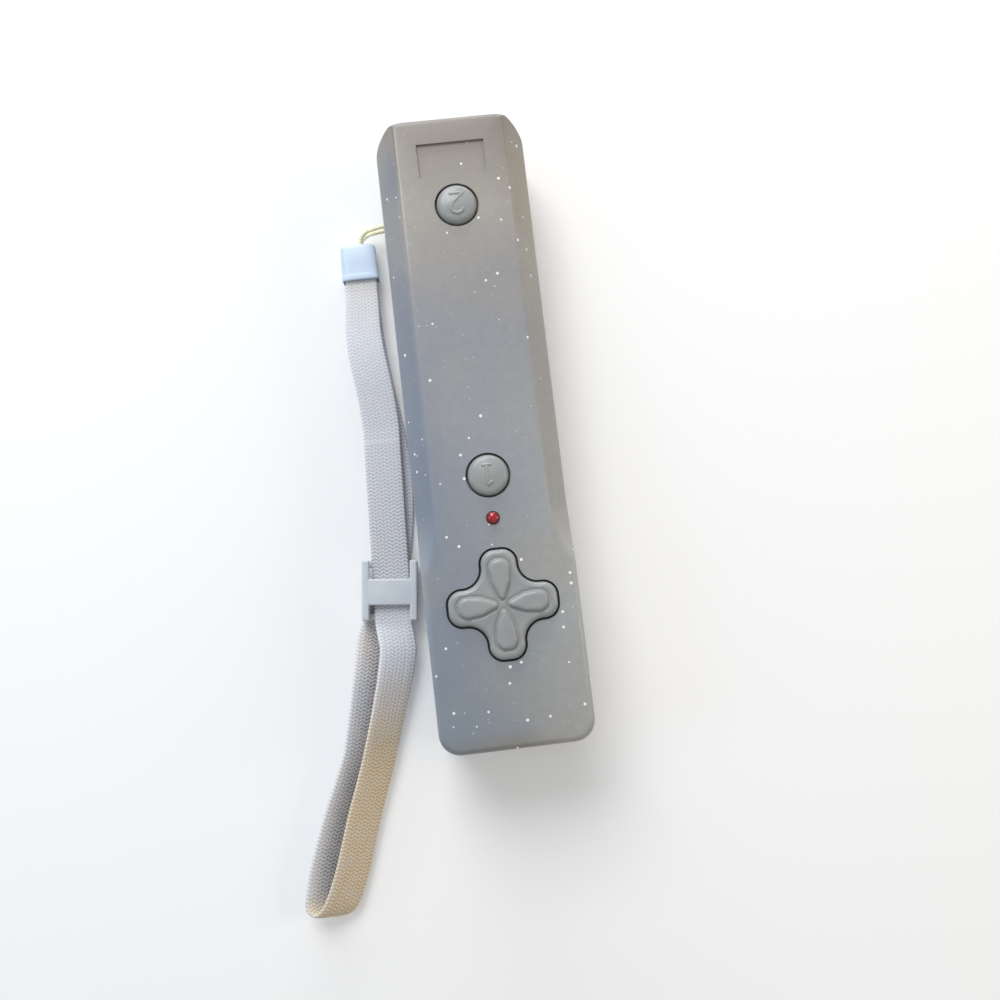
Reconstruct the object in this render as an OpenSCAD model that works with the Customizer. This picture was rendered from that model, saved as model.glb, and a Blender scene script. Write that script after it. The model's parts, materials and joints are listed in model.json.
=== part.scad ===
// Motion controller wand with a wrist strap, in millimetres.
// +Z is up through the button face, +Y points to the rear end with the label recess.
// The origin is on the back of the casing, under its middle.

/* [Casing] */
// Length of the casing
case_len = 150; // [144:1:170]
// Width of the casing
case_w = 36; // [35:0.5:42]
// Height of the casing
case_h = 25; // [24.5:0.5:30]
// Wall thickness of both shells
wall = 2; // [1.6:0.1:2.2]
// Height of the parting line above the back
parting_z = 12; // [11:0.5:13]
// Plan radius of the two rear corners
rear_corner_r = 7; // [6:0.5:9]
// Plan radius of the two front corners
front_corner_r = 5; // [4.8:0.2:7]
// Fillet along the lower edge
bottom_edge_r = 4; // [3:0.25:4.5]
// Fillet along the top edge
top_edge_r = 1.6; // [1:0.1:2]
// Height of the tongue-and-rabbet joint between the shells
lip_h = 1.2; // [0.8:0.1:1.6]
// Open seam that shows along the parting line
seam_gap = 0.15; // [0.05:0.05:0.3]

/* [Side chamfers] */
// Width of the flat top between the chamfers
top_flat_w = 26.2; // [25:0.2:28]
// Height that each chamfer takes off the side
chamfer_drop = 6; // [4:0.25:7]
// Straight length of the chamfers from the rear end
chamfer_len = 94; // [80:1:100]
// Length over which each chamfer runs out to the side
chamfer_runout = 16; // [12:1:20]
// Fillet along the chamfer's two creases
crease_r = 1.5; // [0.8:0.1:2]

/* [Round buttons] */
// Diameter of the button caps
button_d = 9.5; // [8:0.25:11]
// Height of the caps above the top face
button_proud = 1.6; // [1.3:0.1:2.4]
// Travel of the buttons
button_travel = 1.2; // [0.6:0.1:1.3]
// Gap round the caps and the direction pad
key_gap = 0.5; // [0.35:0.05:0.6]
// Main button, from the front end
main_button_from_front = 63; // [61:0.5:65]
// Rear button, from the rear end
rear_button_from_rear = 22; // [21:0.5:24]

/* [Direction pad] */
// Span of the cross, tip to tip
dpad_span = 25.2; // [24:0.2:25.6]
// Width of each arm
dpad_arm_w = 8.2; // [7:0.1:8.4]
// Radius of the two corners at each arm's tip
dpad_tip_r = 3.2; // [2.6:0.1:3.4]
// Radius of the four inner fillets
dpad_fillet_r = 4.8; // [4:0.2:7]
// Height of the plate above the top face
dpad_proud = 1.2; // [0.8:0.1:1.6]
// Height of the teardrop pads above the plate
pad_rise = 0.9; // [0.5:0.1:1.2]
// Width of the teardrop pads
pad_w = 4.7; // [4:0.1:5.6]
// Direction pad, from the front end
dpad_from_front = 33; // [32:0.5:34]

/* [Indicator and label] */
// Diameter of the indicator
led_d = 3; // [2.6:0.1:3.4]
// Indicator, from the front end
led_from_front = 53; // [52:0.5:54]
// Width of the label recess
label_w = 16.2; // [12:0.2:20]
// Length of the label recess
label_len = 8.2; // [6:0.2:9]
// Depth of the label recess
label_depth = 0.6; // [0.3:0.1:0.8]
// Middle of the label recess, from the rear end
label_from_rear = 10.5; // [9:0.5:11]

/* [Boards] */
// Thickness of the circuit boards
board_t = 1.6; // [1:0.2:1.8]
// Room between the boards and the inside of the top
board_drop = 5; // [4.8:0.1:5.2]
// Width of the main board
main_board_w = 26; // [25:0.5:27]
// Width of the rear board
rear_board_w = 20; // [19:0.5:24]

/* [Batteries] */
// Diameter of a cell
cell_d = 10.5; // [9.5:0.1:10.5]
// Length of a cell with its nub
cell_len = 44.5; // [43:0.5:45]
// Room for a compressed contact spring
spring_len = 5.7; // [5:0.1:7]
// Thickness of the contact plates
contact_t = 0.4; // [0.3:0.1:0.6]
// Rear wall of the battery tub, from the rear end
tub_from_rear = 32; // [31:0.5:33]
// Thickness of the battery door
door_t = 1.7; // [1.4:0.1:1.9]
// Depth of the door below the back
door_sunk = 0.2; // [0.1:0.05:0.4]
// Gap round the door
door_gap = 0.25; // [0.15:0.05:0.4]

/* [Fasteners] */
// Thread diameter of the case screws
case_screw_d = 2.2; // [1.8:0.1:2.6]
// Thread diameter of the board and door screws
small_screw_d = 2; // [1.6:0.1:2.2]
// Rear case screws, from the rear end
rear_screw_from_rear = 8; // [7.5:0.25:9]
// Front case screws, from the front end
front_screw_from_front = 9; // [8:0.25:10]

/* [Wrist strap] */
// Width of the webbing
webbing_w = 9.2; // [8:0.1:9.4]
// Thickness of the webbing
webbing_t = 1.2; // [0.8:0.1:1.3]
// Diameter of the lanyard cord
cord_d = 1.1; // [0.8:0.1:1.2]
// Outside width of the slider
slider_w = 13.8; // [13.6:0.1:16]
// Length of the slider
slider_len = 15; // [13:0.5:16]
// Length of the slider's wide middle bar
slider_bar = 6.5; // [5:0.5:7]

/* [Hidden] */

$fn = 48;
grey = "#8f949a";
pale_grey = "#a3a8ac";
rubber = "#d9d4c8";
strap_white = "#ece9ec";
brass = "#c8c4b8";
eps = 0.02;
far = 300;
block_lap = 0.2;

// Places along the casing
hx = case_w / 2;
hy = case_len / 2;
in_top = case_h - wall;
main_y = main_button_from_front - hy;
rear_y = hy - rear_button_from_rear;
dpad_y = dpad_from_front - hy;
led_y = led_from_front - hy;
label_y = hy - label_from_rear;

// Side chamfers
flat_half = top_flat_w / 2;
chamfer_w = hx - flat_half;
chamfer_a = atan2(chamfer_drop, chamfer_w);
chamfer_y = hy - chamfer_len;
runout_r = micron((pow(chamfer_runout, 2) + pow(chamfer_w, 2)) / (2 * chamfer_w));
runout_sweep = 50;
least_fillet = 0.3;
cutter_room = 3;

// Keys: flanges hang under the top, on rubber domes on the boards
fit_gap = 0.1;
touch = 0.05;
flange_rim = 1;
button_flange_t = 1.2;
button_hole_d = button_d + 2 * key_gap;
button_flange_d = button_hole_d + 2 * flange_rim;
button_flange_z = in_top - fit_gap - button_flange_t;
board_top = in_top - board_drop;
board_bottom = board_top - board_t;
rubber_t = 1;
pill_t = 0.7;
pill_d = 4;
pill_clear = 0.1;
button_pill_z = board_top + button_travel + pill_clear;
cap_edge_r = 1.1;
dome_foot = 5.6;
dome_roof = 3.4;
dome_skin = 0.7;
dome_rim = 1.4;
nub_side = 0.1;

// Direction pad: a cross plate that rocks on a ball
dpad_hole_span = dpad_span + 2 * key_gap;
dpad_hole_arm = dpad_arm_w + 2 * key_gap;
dpad_hole_fillet = dpad_fillet_r - key_gap;
dpad_hole_tip = dpad_tip_r + key_gap;
dpad_edge_r = 1.2;
fillet_bite = 0.01;
tip_steps = 6;
corner_steps = 8;
edge_steps = 4;
dpad_flange_drop = 2.4;
dpad_flange_z = in_top - dpad_flange_drop;
dpad_flange_t = 0.9;
dpad_top = case_h + dpad_proud;
pad_reach = 10.1;
pad_waist = 5.2;
pad_waist_share = 0.88;
pad_tip = 1.5;
pad_tip_r = 0.6;
pad_edge_r = 0.8;
pad_sunk = 0.3;
pivot_drop = 0.4;
pivot_z = in_top - pivot_drop;
pivot_r = 2;
pivot_fit = 0.05;
socket_r = 2.6;
post_r = 1.4;
post_hole_r = 1.8;
dpad_pill_ring = 8;
dpad_pill_rise = 1.3;
dpad_pill_z = board_top + dpad_pill_rise;
dpad_rubber_w = 25;
dpad_dome_foot = 3.3;
dpad_dome_roof = 2.8;
dpad_dome_skin = 0.5;
dpad_dome_rim = 0.8;

// Indicator
led_hole_d = led_d + 0.2;
led_flange_d = led_d + 0.8;
led_flange_t = 1;
led_proud = 1;
led_lead_d = 0.5;
led_lead_pitch = 2.54;

// Boards and the posts that they hang on
post_d = 4.4;
post_pilot_fit = 0.1;
main_post_x = 11;
post_before_dpad = 15.2;
post_after_button = 7.5;
main_post_ends = [dpad_y - post_before_dpad, main_y + post_after_button];
main_board_margin = 2.8;
main_board_y = [main_post_ends[0] - main_board_margin, main_post_ends[1] + main_board_margin];
rear_posts = [[-8, rear_y - 5.5], [8, rear_y + 5.5]];
rear_board_half = 8;
board_screw_len = 4.2;
screw_head_t = 1.1;
screw_head_over = 1.8;
ribbon_w = 8;
ribbon_t = 0.6;
ribbon_lap = 3;
ribbon_bend = 3;
ribbon_dip = 1.2;
chip_d = 11;
chip_rise = 1.6;
chip_at = [-3, dpad_y + 6];
crystal_size = [10.2, 3.4, 3.5];
crystal_at = [7, dpad_y - 2];
can_d = 5;
can_len = 11;
can_y = dpad_y - 9;
can_room = 0.2;
can_leg = [1, 0.8];
can_leg_in = 1.2;

// Battery tub and door
cell_side = 0.45;
cell_apart = 0.7;
cell_x = (cell_d + cell_apart) / 2;
cell_over_door = 0.3;
cell_z = door_sunk + door_t + cell_over_door + cell_d / 2;
tub_half = cell_x + cell_d / 2 + cell_side;
tub_len = cell_len + spring_len + 2 * contact_t;
tub_y1 = hy - tub_from_rear;
tub_y0 = tub_y1 - tub_len;
tub_roof_z = cell_z + cell_d / 2 + cell_over_door;
tub_wall = 1.2;
tub_side = 2.2;
door_ledge = 1.2;
door_half = tub_half + door_ledge;
door_land = 3.4;
door_end = 3.6;
door_screw_y = [tub_y0 - tub_wall - door_land, tub_y1 + tub_wall + door_land];
door_y = [door_screw_y[0] - door_end, door_screw_y[1] + door_end];
door_seat_z = door_sunk + door_t + fit_gap;
seat_t = 1.6;
seat_rim = 1.5;
door_boss_d = 6;
door_boss_top = 9;
door_corner_r = 2;
door_head_d = 4;
door_head_t = 0.8;
door_screw_top = 6.5;
grip_lines = 5;
grip_pitch = 2;
grip_from_tub = 2;
grip_d = 0.9;
grip_w = 12;

// Case screws
column_d = 6.6;
boss_d = 5.8;
case_head_d = 4.2;
case_head_t = 1.6;
case_head_seat = 6;
head_room = 0.4;
shank_room = 0.4;
case_screw_top = 19;
screw_places = [
    [-10, front_screw_from_front - hy], [10, front_screw_from_front - hy],
    [-11, hy - rear_screw_from_rear], [11, hy - rear_screw_from_rear],
];

// Eyelet for the lanyard, in the left side of the lower shell
eyelet_y = 55.8;
eyelet_z = 6.5;
eyelet_bar_r = 1.5;
eyelet_bar_x = -hx + 1.6;
eyelet_w = 5;
eyelet_h = 7;
eyelet_deep = 4.7;
eyelet_wall = 1.2;
eyelet_inset = 0.8 * wall;

// Cells and contacts
nub_d = 3.8;
nub_len = 0.8;
cell_edge_r = 0.6;
contact_w = 8;
contact_h = 8;
tab_w = 3;
tab_top = 15.4;
spring_wire_d = 0.7;
spring_turns = 4;
spring_r0 = 3.4;
spring_r1 = 2.2;
spring_rings = 8;
spring_sides = 6;
lead_d = 1.2;
antenna_d = 0.9;
wire_sides = 8;

// Wrist strap: the cap, and the layers of webbing at their heights above the table
cap_size = [9.6, 9.4, 5];
cap_at = [-26, 48.6, 2.6];
cap_round = 1.2;
cap_pocket = 2.6;
cap_fit = 0.1;
layer_top = 3.6;
layer_low = 1.5;
strap_neck = 0.87;
cord_bores_z = [1.6, 3.6];
cord_bore_x = -25.2;
cord_bore_deep = 4.4;
slider_at = [-27, -35.7];
slider_turn = -6;
slider_rail = 1.2;
slider_lip = 0.7;
slider_clear = 0.3;
slider_bar_t = 1;
slider_mid_t = 1.3;
slider_end = 1.8;
slider_mid_y = -0.4;
slider_z0 = layer_top - webbing_t / 2 - slider_clear - slider_bar_t;
slider_z1 = layer_top + webbing_t / 2 + slider_clear + slider_mid_t;
slider_edge_r = 0.6;
strap_steps = 3;

// Routes, as x, y, z and, for webbing, the turn of its width from the X axis, the tilt of its right edge
// below level and its share of the full width
cord_route = [
    [-25.2, 49.2, 3.6], [-25.2, 51.3, 3.6], [-25.2, 53.2, 3.6], [-24.7, 54.8, 4.2], [-23.3, 55.8, 5.6],
    [-21.4, 55.8, 7.2], [-19.2, 55.8, 8.3], [-17.2, 55.8, 8.7], [-15.2, 55.8, 8.3], [-14.2, 55.9, 6.5],
    [-15.2, 56, 4.7], [-17.2, 56.1, 4.3], [-19.2, 56.1, 4.2], [-21.4, 56.1, 3.4], [-23.3, 56, 2.3],
    [-24.7, 55, 1.7], [-25.2, 53.4, 1.6], [-25.2, 51.3, 1.6], [-25.2, 49.2, 1.6],
];
front_route = [
    [-26, 46.2, 3.6, 0, 0, strap_neck], [-26, 43, 3.6, 0, 0, strap_neck], [-26.3, 37, 3.8, -2, 0, 0.93],
    [-26.7, 31, 4.1, -1, 0, 0.98], [-26.5, 25, 4.4, 4, 0, 1], [-25.8, 19, 4.4, 5, 0, 1],
    [-25.2, 13, 4, 4, 0, 1], [-24.84, 6, 3.6, 0, 0, 1], [-24.96, 3, 3.6, -2.3, 0, 1],
    [-25.2, -3, 3.6, -2.3, 0, 1], [-25.6, -13, 3.6, -2.3, 0, 1], [-26, -23, 3.6, -2.3, 0, 1],
    [-26.4, -33, 3.6, -2.3, 0, 1], [-26.52, -36, 3.6, -2.3, 0, 1],
];
back_route = [
    [-26, 46.2, 1.5, 0, 0, strap_neck], [-26, 43, 1.5, 0, 0, strap_neck], [-26.3, 37, 1.2, -1, 0, 0.93],
    [-26.4, 31, 0.9, 1, 0, 0.98], [-26.1, 25, 0.8, 4, 0, 1], [-25.4, 18, 0.8, 7, 0, 1],
    [-24.4, 10, 0.8, 7, 0, 1], [-23.5, 2, 0.8, 4, 0, 1], [-23.2, -6, 0.8, 0, 0, 1],
    [-23.4, -13, 0.8, -5, 0, 1], [-24.3, -20, 0.8, -9, 0, 1], [-25.5, -26.6, 0.8, -11, 0, 1],
    [-26.6, -32, 0.8, -11, 0, 1], [-27.4, -36, 0.8, -11, 0, 1],
];
loop_route = [
    [-26.52, -36, 3.6, -2.3, 0, 1], [-26.7, -39, 3.6, -2.3, 0, 1], [-26.95, -42, 3.6, -2, 0, 1],
    [-26.9, -44.6, 3.8, -2, 2, 1], [-26.6, -47.6, 4.4, -4, 8, 1], [-26.5, -51, 4.9, -7, 15, 1],
    [-27.9, -57.2, 5.2, -12, 24, 1], [-29.7, -63.2, 5.1, -15, 29, 1], [-31.6, -69.2, 4.9, -17, 32, 1],
    [-34.5, -78, 4.7, -18, 33, 1], [-38.9, -89.7, 4.5, -18, 33, 1], [-42.9, -101.5, 4.3, -16, 32, 1],
    [-45.3, -107.3, 4.2, -13, 30, 1], [-47.1, -110.4, 4.1, -10, 28, 1], [-49, -111.9, 3.9, -9, 27, 1],
    [-50.6, -111.2, 3.6, -9, 27, 1], [-51.1, -109.2, 3.3, -10, 28, 1], [-50.7, -106.8, 3.2, -13, 30, 1],
    [-49.2, -101, 3.2, -16, 32, 1], [-44.8, -89.2, 3.2, -18, 33, 1], [-39.6, -77.5, 3.2, -18, 33, 1],
    [-37.7, -71.8, 3.2, -17, 31, 1], [-34.75, -59.7, 2.9, -15, 26, 1], [-33.3, -53.6, 2.2, -14, 18, 1],
    [-31.9, -47.4, 1.15, -13, 5, 1], [-29.8, -42, 0.8, -12, 0, 1], [-28.6, -39, 0.8, -11.5, 0, 1],
    [-27.4, -36, 0.8, -11, 0, 1],
];
lead_end_z = board_bottom - lead_d / 2 - touch;
lead_red_route = [
    [-cell_x, tub_y0 + contact_t / 2, tab_top], [-cell_x, tub_y0 - 1.5, tab_top],
    [-cell_x - 0.4, tub_y0 - 3, (tab_top + lead_end_z) / 2], [-cell_x - 0.8, tub_y0 - 4.5, lead_end_z],
    [-cell_x - 0.8, tub_y0 - 6.5, lead_end_z],
];
lead_black_route = [for (p = lead_red_route) [-p.x, p.y, p.z]];
antenna_x = -7.6;
antenna_y = main_post_ends[1];
antenna_len = 30;
antenna_lift = 0.3;
antenna_z = [board_bottom - touch, tub_roof_z + tub_wall + antenna_d / 2 + antenna_lift];
antenna_route = [
    [antenna_x, antenna_y, antenna_z[0]], [antenna_x, antenna_y + 0.2, (antenna_z[0] + antenna_z[1]) / 2],
    [antenna_x, antenna_y + 1.4, antenna_z[1]],
    for (k = [1:4]) [antenna_x, antenna_y + antenna_len * k / 4, antenna_z[1]],
];

// Shapes shared by several pieces

module quarter_disc(r) {
    intersection() {
        circle(r);
        square(2 * r);
    }
}

// Section of a block's edge from its middle at x = 0 out to r, with a fillet below and one above
module edge_profile(r, z0, z1, below, above) {
    translate([0, z0]) square([r - below, below]);
    translate([r - below, z0 + below]) mirror([0, 1]) quarter_disc(below);
    translate([0, z0 + below]) square([r, z1 - above - z0 - below]);
    translate([0, z1 - above]) square([r - above, above]);
    translate([r - above, z1 - above]) quarter_disc(above);
}

// The casing's block before its chamfers, with every face set in by inset
module rounded_block(inset) {
    x1 = hx - inset;
    y1 = hy - inset;
    z0 = inset;
    z1 = case_h - inset;
    rear = rear_corner_r - inset;
    front = front_corner_r - inset;
    below = bottom_edge_r - inset;
    above = max(top_edge_r - inset, least_fillet);
    near_x = x1 - rear + block_lap;
    far_x = x1 - front + block_lap;
    near_y = y1 - rear + block_lap;
    far_y = y1 - front + block_lap;
    translate([0, 0, z0]) linear_extrude(z1 - z0) polygon([
        [-far_x, -far_y], [far_x, -far_y], [far_x, near_y], [near_x, near_y],
        [near_x, far_y], [-near_x, far_y], [-near_x, near_y], [-far_x, near_y],
    ]);
    for (side = [0, 1]) mirror([side, 0, 0]) {
        translate([0, y1 - rear, 0]) rotate([90, 0, 0]) linear_extrude(2 * y1 - rear - front)
            translate([x1 - front, 0]) edge_profile(front, z0, z1, below, above);
        translate([x1 - rear, y1 - rear, 0]) rotate_extrude(angle = 90)
            edge_profile(rear, z0, z1, below, above);
        translate([x1 - front, -y1 + front, 0]) rotate(-90) rotate_extrude(angle = 90)
            edge_profile(front, z0, z1, below, above);
    }
    translate([-x1 + rear, 0, 0]) rotate([90, 0, 90]) linear_extrude(2 * (x1 - rear))
        translate([y1 - front, 0]) edge_profile(front, z0, z1, below, above);
    mirror([0, 1, 0]) translate([-x1 + front, 0, 0]) rotate([90, 0, 90]) linear_extrude(2 * (x1 - front))
        translate([y1 - front, 0]) edge_profile(front, z0, z1, below, above);
}

// Points from angle a0 to a1, measured from straight up
function arc(c, r, a0, a1, steps) =
    [for (k = [0:steps]) let (a = a0 + (a1 - a0) * k / steps) c + r * [sin(a), cos(a)]];
// A length to the nearest micron, so that the straight and the curved part of a cutter meet exactly
function micron(v) = round(v * 1000) / 1000;
// A point d past b on the line from a
function beyond(a, b, d) = b + (b - a) / norm(b - a) * d;

// Section of what each chamfer cuts away, on the side of +X
function chamfer_section(inset) =
    let (r = max(crease_r - inset, least_fillet),
        upper = [flat_half - (inset + r) * tan(chamfer_a / 2), case_h - inset - r],
        lower = [hx - inset - r, case_h - chamfer_drop - (inset + r) * tan(45 - chamfer_a / 2)],
        u = arc(upper, r, 0, chamfer_a, 3),
        l = arc(lower, r, chamfer_a, 90, 3),
        first = beyond(u[1], u[0], cutter_room),
        last = beyond(l[2], l[3], cutter_room),
        out = hx + cutter_room,
        over = case_h + cutter_room)
    [for (p = [first, u[1], u[2], u[3], l[0], l[1], l[2], last, [out, last.y], [out, over], [first.x, over]])
        [micron(p.x), micron(p.y)]];

module chamfer_cutter(inset) {
    section = chamfer_section(inset);
    axis_x = flat_half + runout_r;
    translate([0, hy + cutter_room, 0]) rotate([90, 0, 0])
        linear_extrude(chamfer_len + cutter_room) polygon(section);
    translate([axis_x, chamfer_y, 0]) rotate(180) rotate_extrude(angle = runout_sweep)
        polygon([for (p = section) [axis_x - p.x, p.y]]);
}

// The outside of the casing, or its inside where inset is the wall
module casing_form(inset) {
    difference() {
        rounded_block(inset);
        for (side = [0, 1]) mirror([side, 0, 0]) chamfer_cutter(inset);
    }
}

module slab(z0, z1) {
    translate([-far / 2, -far / 2, z0]) cube([far, far, z1 - z0]);
}

module shell(z0, z1) {
    intersection() {
        difference() {
            casing_form(0);
            casing_form(wall);
        }
        slab(z0, z1);
    }
}

// A rim along the inside of the wall, from one inset to the other
module rim(inset0, inset1, z0, z1) {
    intersection() {
        difference() {
            rounded_block(inset0);
            rounded_block(inset1);
        }
        slab(z0, z1);
    }
}

// Centre, on the diagonal, of a fillet that runs into the cross's arms or, where it is large, its round tips
function corner_centre(span, arm, fillet, tip) =
    let (x = span / 2 - tip, s = arm / 2 - tip, reach = fillet + arm / 2)
    reach <= x ? reach : (x + s + sqrt(2 * pow(fillet + tip, 2) - pow(x - s, 2))) / 2;

// Cross with round tips and filleted inner corners, as an outline whose arcs cross at a slight angle
module cross_outline(span, arm, fillet, tip) {
    x = span / 2 - tip;
    s = arm / 2 - tip;
    c = corner_centre(span, arm, fillet, tip) - fillet_bite;
    for (turn = [0, 90]) rotate(turn) {
        square([2 * x, arm], center = true);
        square([span, 2 * s], center = true);
    }
    for (turn = [0:90:270]) rotate(turn) {
        for (y = [-s, s]) translate([x, y]) circle(tip);
        difference() {
            polygon([[0, 0], [min(x, c), 0], [c, c], [0, min(x, c)]]);
            translate([c, c]) circle(fillet);
        }
    }
}

// The same outline as points, set in by inset, at height z
function cross_ring(span, arm, fillet, tip, inset, z) =
    let (x = span / 2 - tip, s = arm / 2 - tip, c = corner_centre(span, arm, fillet, tip),
        a = min(90, atan2(c - s, c - x)), r = tip - inset, corner = fillet + inset,
        quarter = concat(
            [for (side = [-1, 1], k = [0:tip_steps]) let (t = (side - 1) / 2 * a + a * k / tip_steps)
                [x + r * cos(t), side * s + r * sin(t)]],
            [for (k = [1:corner_steps - 1]) let (t = 180 + a + (90 - 2 * a) * k / corner_steps)
                [c + corner * cos(t), c + corner * sin(t)]]))
    [for (turn = [0:90:270], p = quarter)
        [p.x * cos(turn) - p.y * sin(turn), p.x * sin(turn) + p.y * cos(turn), z]];

// Disc with a rounded upper edge
module rounded_disc(d, z0, z1, edge) {
    rotate_extrude() {
        translate([0, z0]) square([d / 2, z1 - edge - z0]);
        translate([0, z1 - edge]) square([d / 2 - edge, edge]);
        translate([d / 2 - edge, z1 - edge]) quarter_disc(edge);
    }
}

// Pan head screw with a cross recess, head below, from the head's seat at z = 0 up to len
module screw(thread, head, head_t, len) {
    recess = head * 0.6;
    difference() {
        translate([0, 0, -head_t]) cylinder(d = head, h = head_t);
        for (turn = [0, 90]) rotate(turn)
            translate([-recess / 2, -recess / 8, -head_t - eps]) cube([recess, recess / 4, head_t / 2]);
    }
    translate([0, 0, -eps]) cylinder(d = thread, h = len - thread / 2 + eps);
    translate([0, 0, len - thread / 2]) cylinder(d1 = thread, d2 = thread / 4, h = thread / 2);
}

// Sweeps: rings of points joined by triangles, each end closed round its middle point
function catmull(a, b, c, d, t) =
    0.5 * (2 * b + (c - a) * t + (2 * a - 5 * b + 4 * c - d) * t * t + (3 * b - 3 * c + d - a) * t * t * t);
function smooth(route, steps) =
    let (n = len(route) - 1)
    [for (i = [0:n - 1], k = [0:steps - 1])
        catmull(route[max(i - 1, 0)], route[i], route[i + 1], route[min(i + 2, n)], k / steps),
        route[n]];
function xyz(p) = [p[0], p[1], p[2]];
function unit(v) = v / norm(v);
function along(path, i) = unit(xyz(path[min(i + 1, len(path) - 1)]) - xyz(path[max(i - 1, 0)]));
function carried(path, n, i = 0) =
    i == len(path) ? [] :
    let (t = along(path, i), m = unit(n - (n * t) * t)) concat([m], carried(path, m, i + 1));

function middle(ring) = [for (p = ring) 1] * ring / len(ring);

module sweep(rings) {
    n = len(rings);
    m = len(rings[0]);
    polyhedron(
        points = concat([for (r = rings) each r], [middle(rings[0]), middle(rings[n - 1])]),
        faces = concat(
            [for (k = [0:m - 1]) [n * m, k, (k + 1) % m]],
            [for (i = [0:n - 2], k = [0:m - 1]) let (a = i * m + k, b = i * m + (k + 1) % m) [a, a + m, b]],
            [for (i = [0:n - 2], k = [0:m - 1]) let (a = i * m + k, b = i * m + (k + 1) % m) [a + m, b + m, b]],
            [for (k = [0:m - 1]) [n * m + 1, (n - 1) * m + (k + 1) % m, (n - 1) * m + k]]));
}

module round_cord(path, d, sides, first_normal = [0, 0, 1]) {
    normals = carried(path, first_normal);
    sweep([for (i = [0:len(path) - 1])
        let (t = along(path, i), u = normals[i], v = cross(t, u))
        [for (k = [0:sides - 1]) let (a = 360 * k / sides) xyz(path[i]) + d / 2 * (cos(a) * u + sin(a) * v)]]);
}

// Flat webbing with rounded edges, turned, tilted and narrowed as its route says
function webbing_section(w, t) = [
    [w, -t / 2], [w, t / 2], [w - t, t], [t - w, t],
    [-w, t / 2], [-w, -t / 2], [t - w, -t], [w - t, -t],
];

module webbing(route) {
    path = smooth(route, strap_steps);
    sweep([for (i = [0:len(path) - 1])
        let (turn = path[i][3], tilt = path[i][4],
            across = [cos(turn) * cos(tilt), sin(turn) * cos(tilt), -sin(tilt)],
            up = unit(cross(along(path, i), across)))
        [for (s = webbing_section(path[i][5] * webbing_w / 2, webbing_t / 2))
            xyz(path[i]) + s.x * across + s.y * up]]);
}

// Casing

module upper_shell() {
    color(grey) difference() {
        union() {
            shell(parting_z + seam_gap, case_h + 1);
            rim(wall / 2 + fit_gap, wall, parting_z - lip_h, parting_z + seam_gap + eps);
            for (p = screw_places) translate([p.x, p.y, parting_z + fit_gap])
                cylinder(d = boss_d, h = in_top + wall / 4 - parting_z - fit_gap);
            for (p = board_posts()) translate([p.x, p.y, board_top])
                cylinder(d = post_d, h = board_drop + wall / 4);
        }
        for (p = screw_places) translate([p.x, p.y, parting_z - 1])
            cylinder(d = case_screw_d + post_pilot_fit, h = case_screw_top + 1 + fit_gap - parting_z + 1);
        for (p = board_posts()) translate([p.x, p.y, board_top - 1])
            cylinder(d = small_screw_d + post_pilot_fit, h = board_screw_len - board_t + 1 + fit_gap);
        for (y = [main_y, rear_y]) translate([0, y, in_top - 1]) cylinder(d = button_hole_d, h = wall + 2);
        translate([0, dpad_y, in_top - 1]) linear_extrude(wall + 2)
            cross_outline(dpad_hole_span, dpad_hole_arm, dpad_hole_fillet, dpad_hole_tip);
        translate([0, led_y, in_top - 1]) cylinder(d = led_hole_d, h = wall + 2);
        translate([-label_w / 2, label_y - label_len / 2, case_h - label_depth])
            cube([label_w, label_len, label_depth + 1]);
    }
}

function board_posts() = concat([for (x = [-main_post_x, main_post_x], y = main_post_ends) [x, y]], rear_posts);

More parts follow.
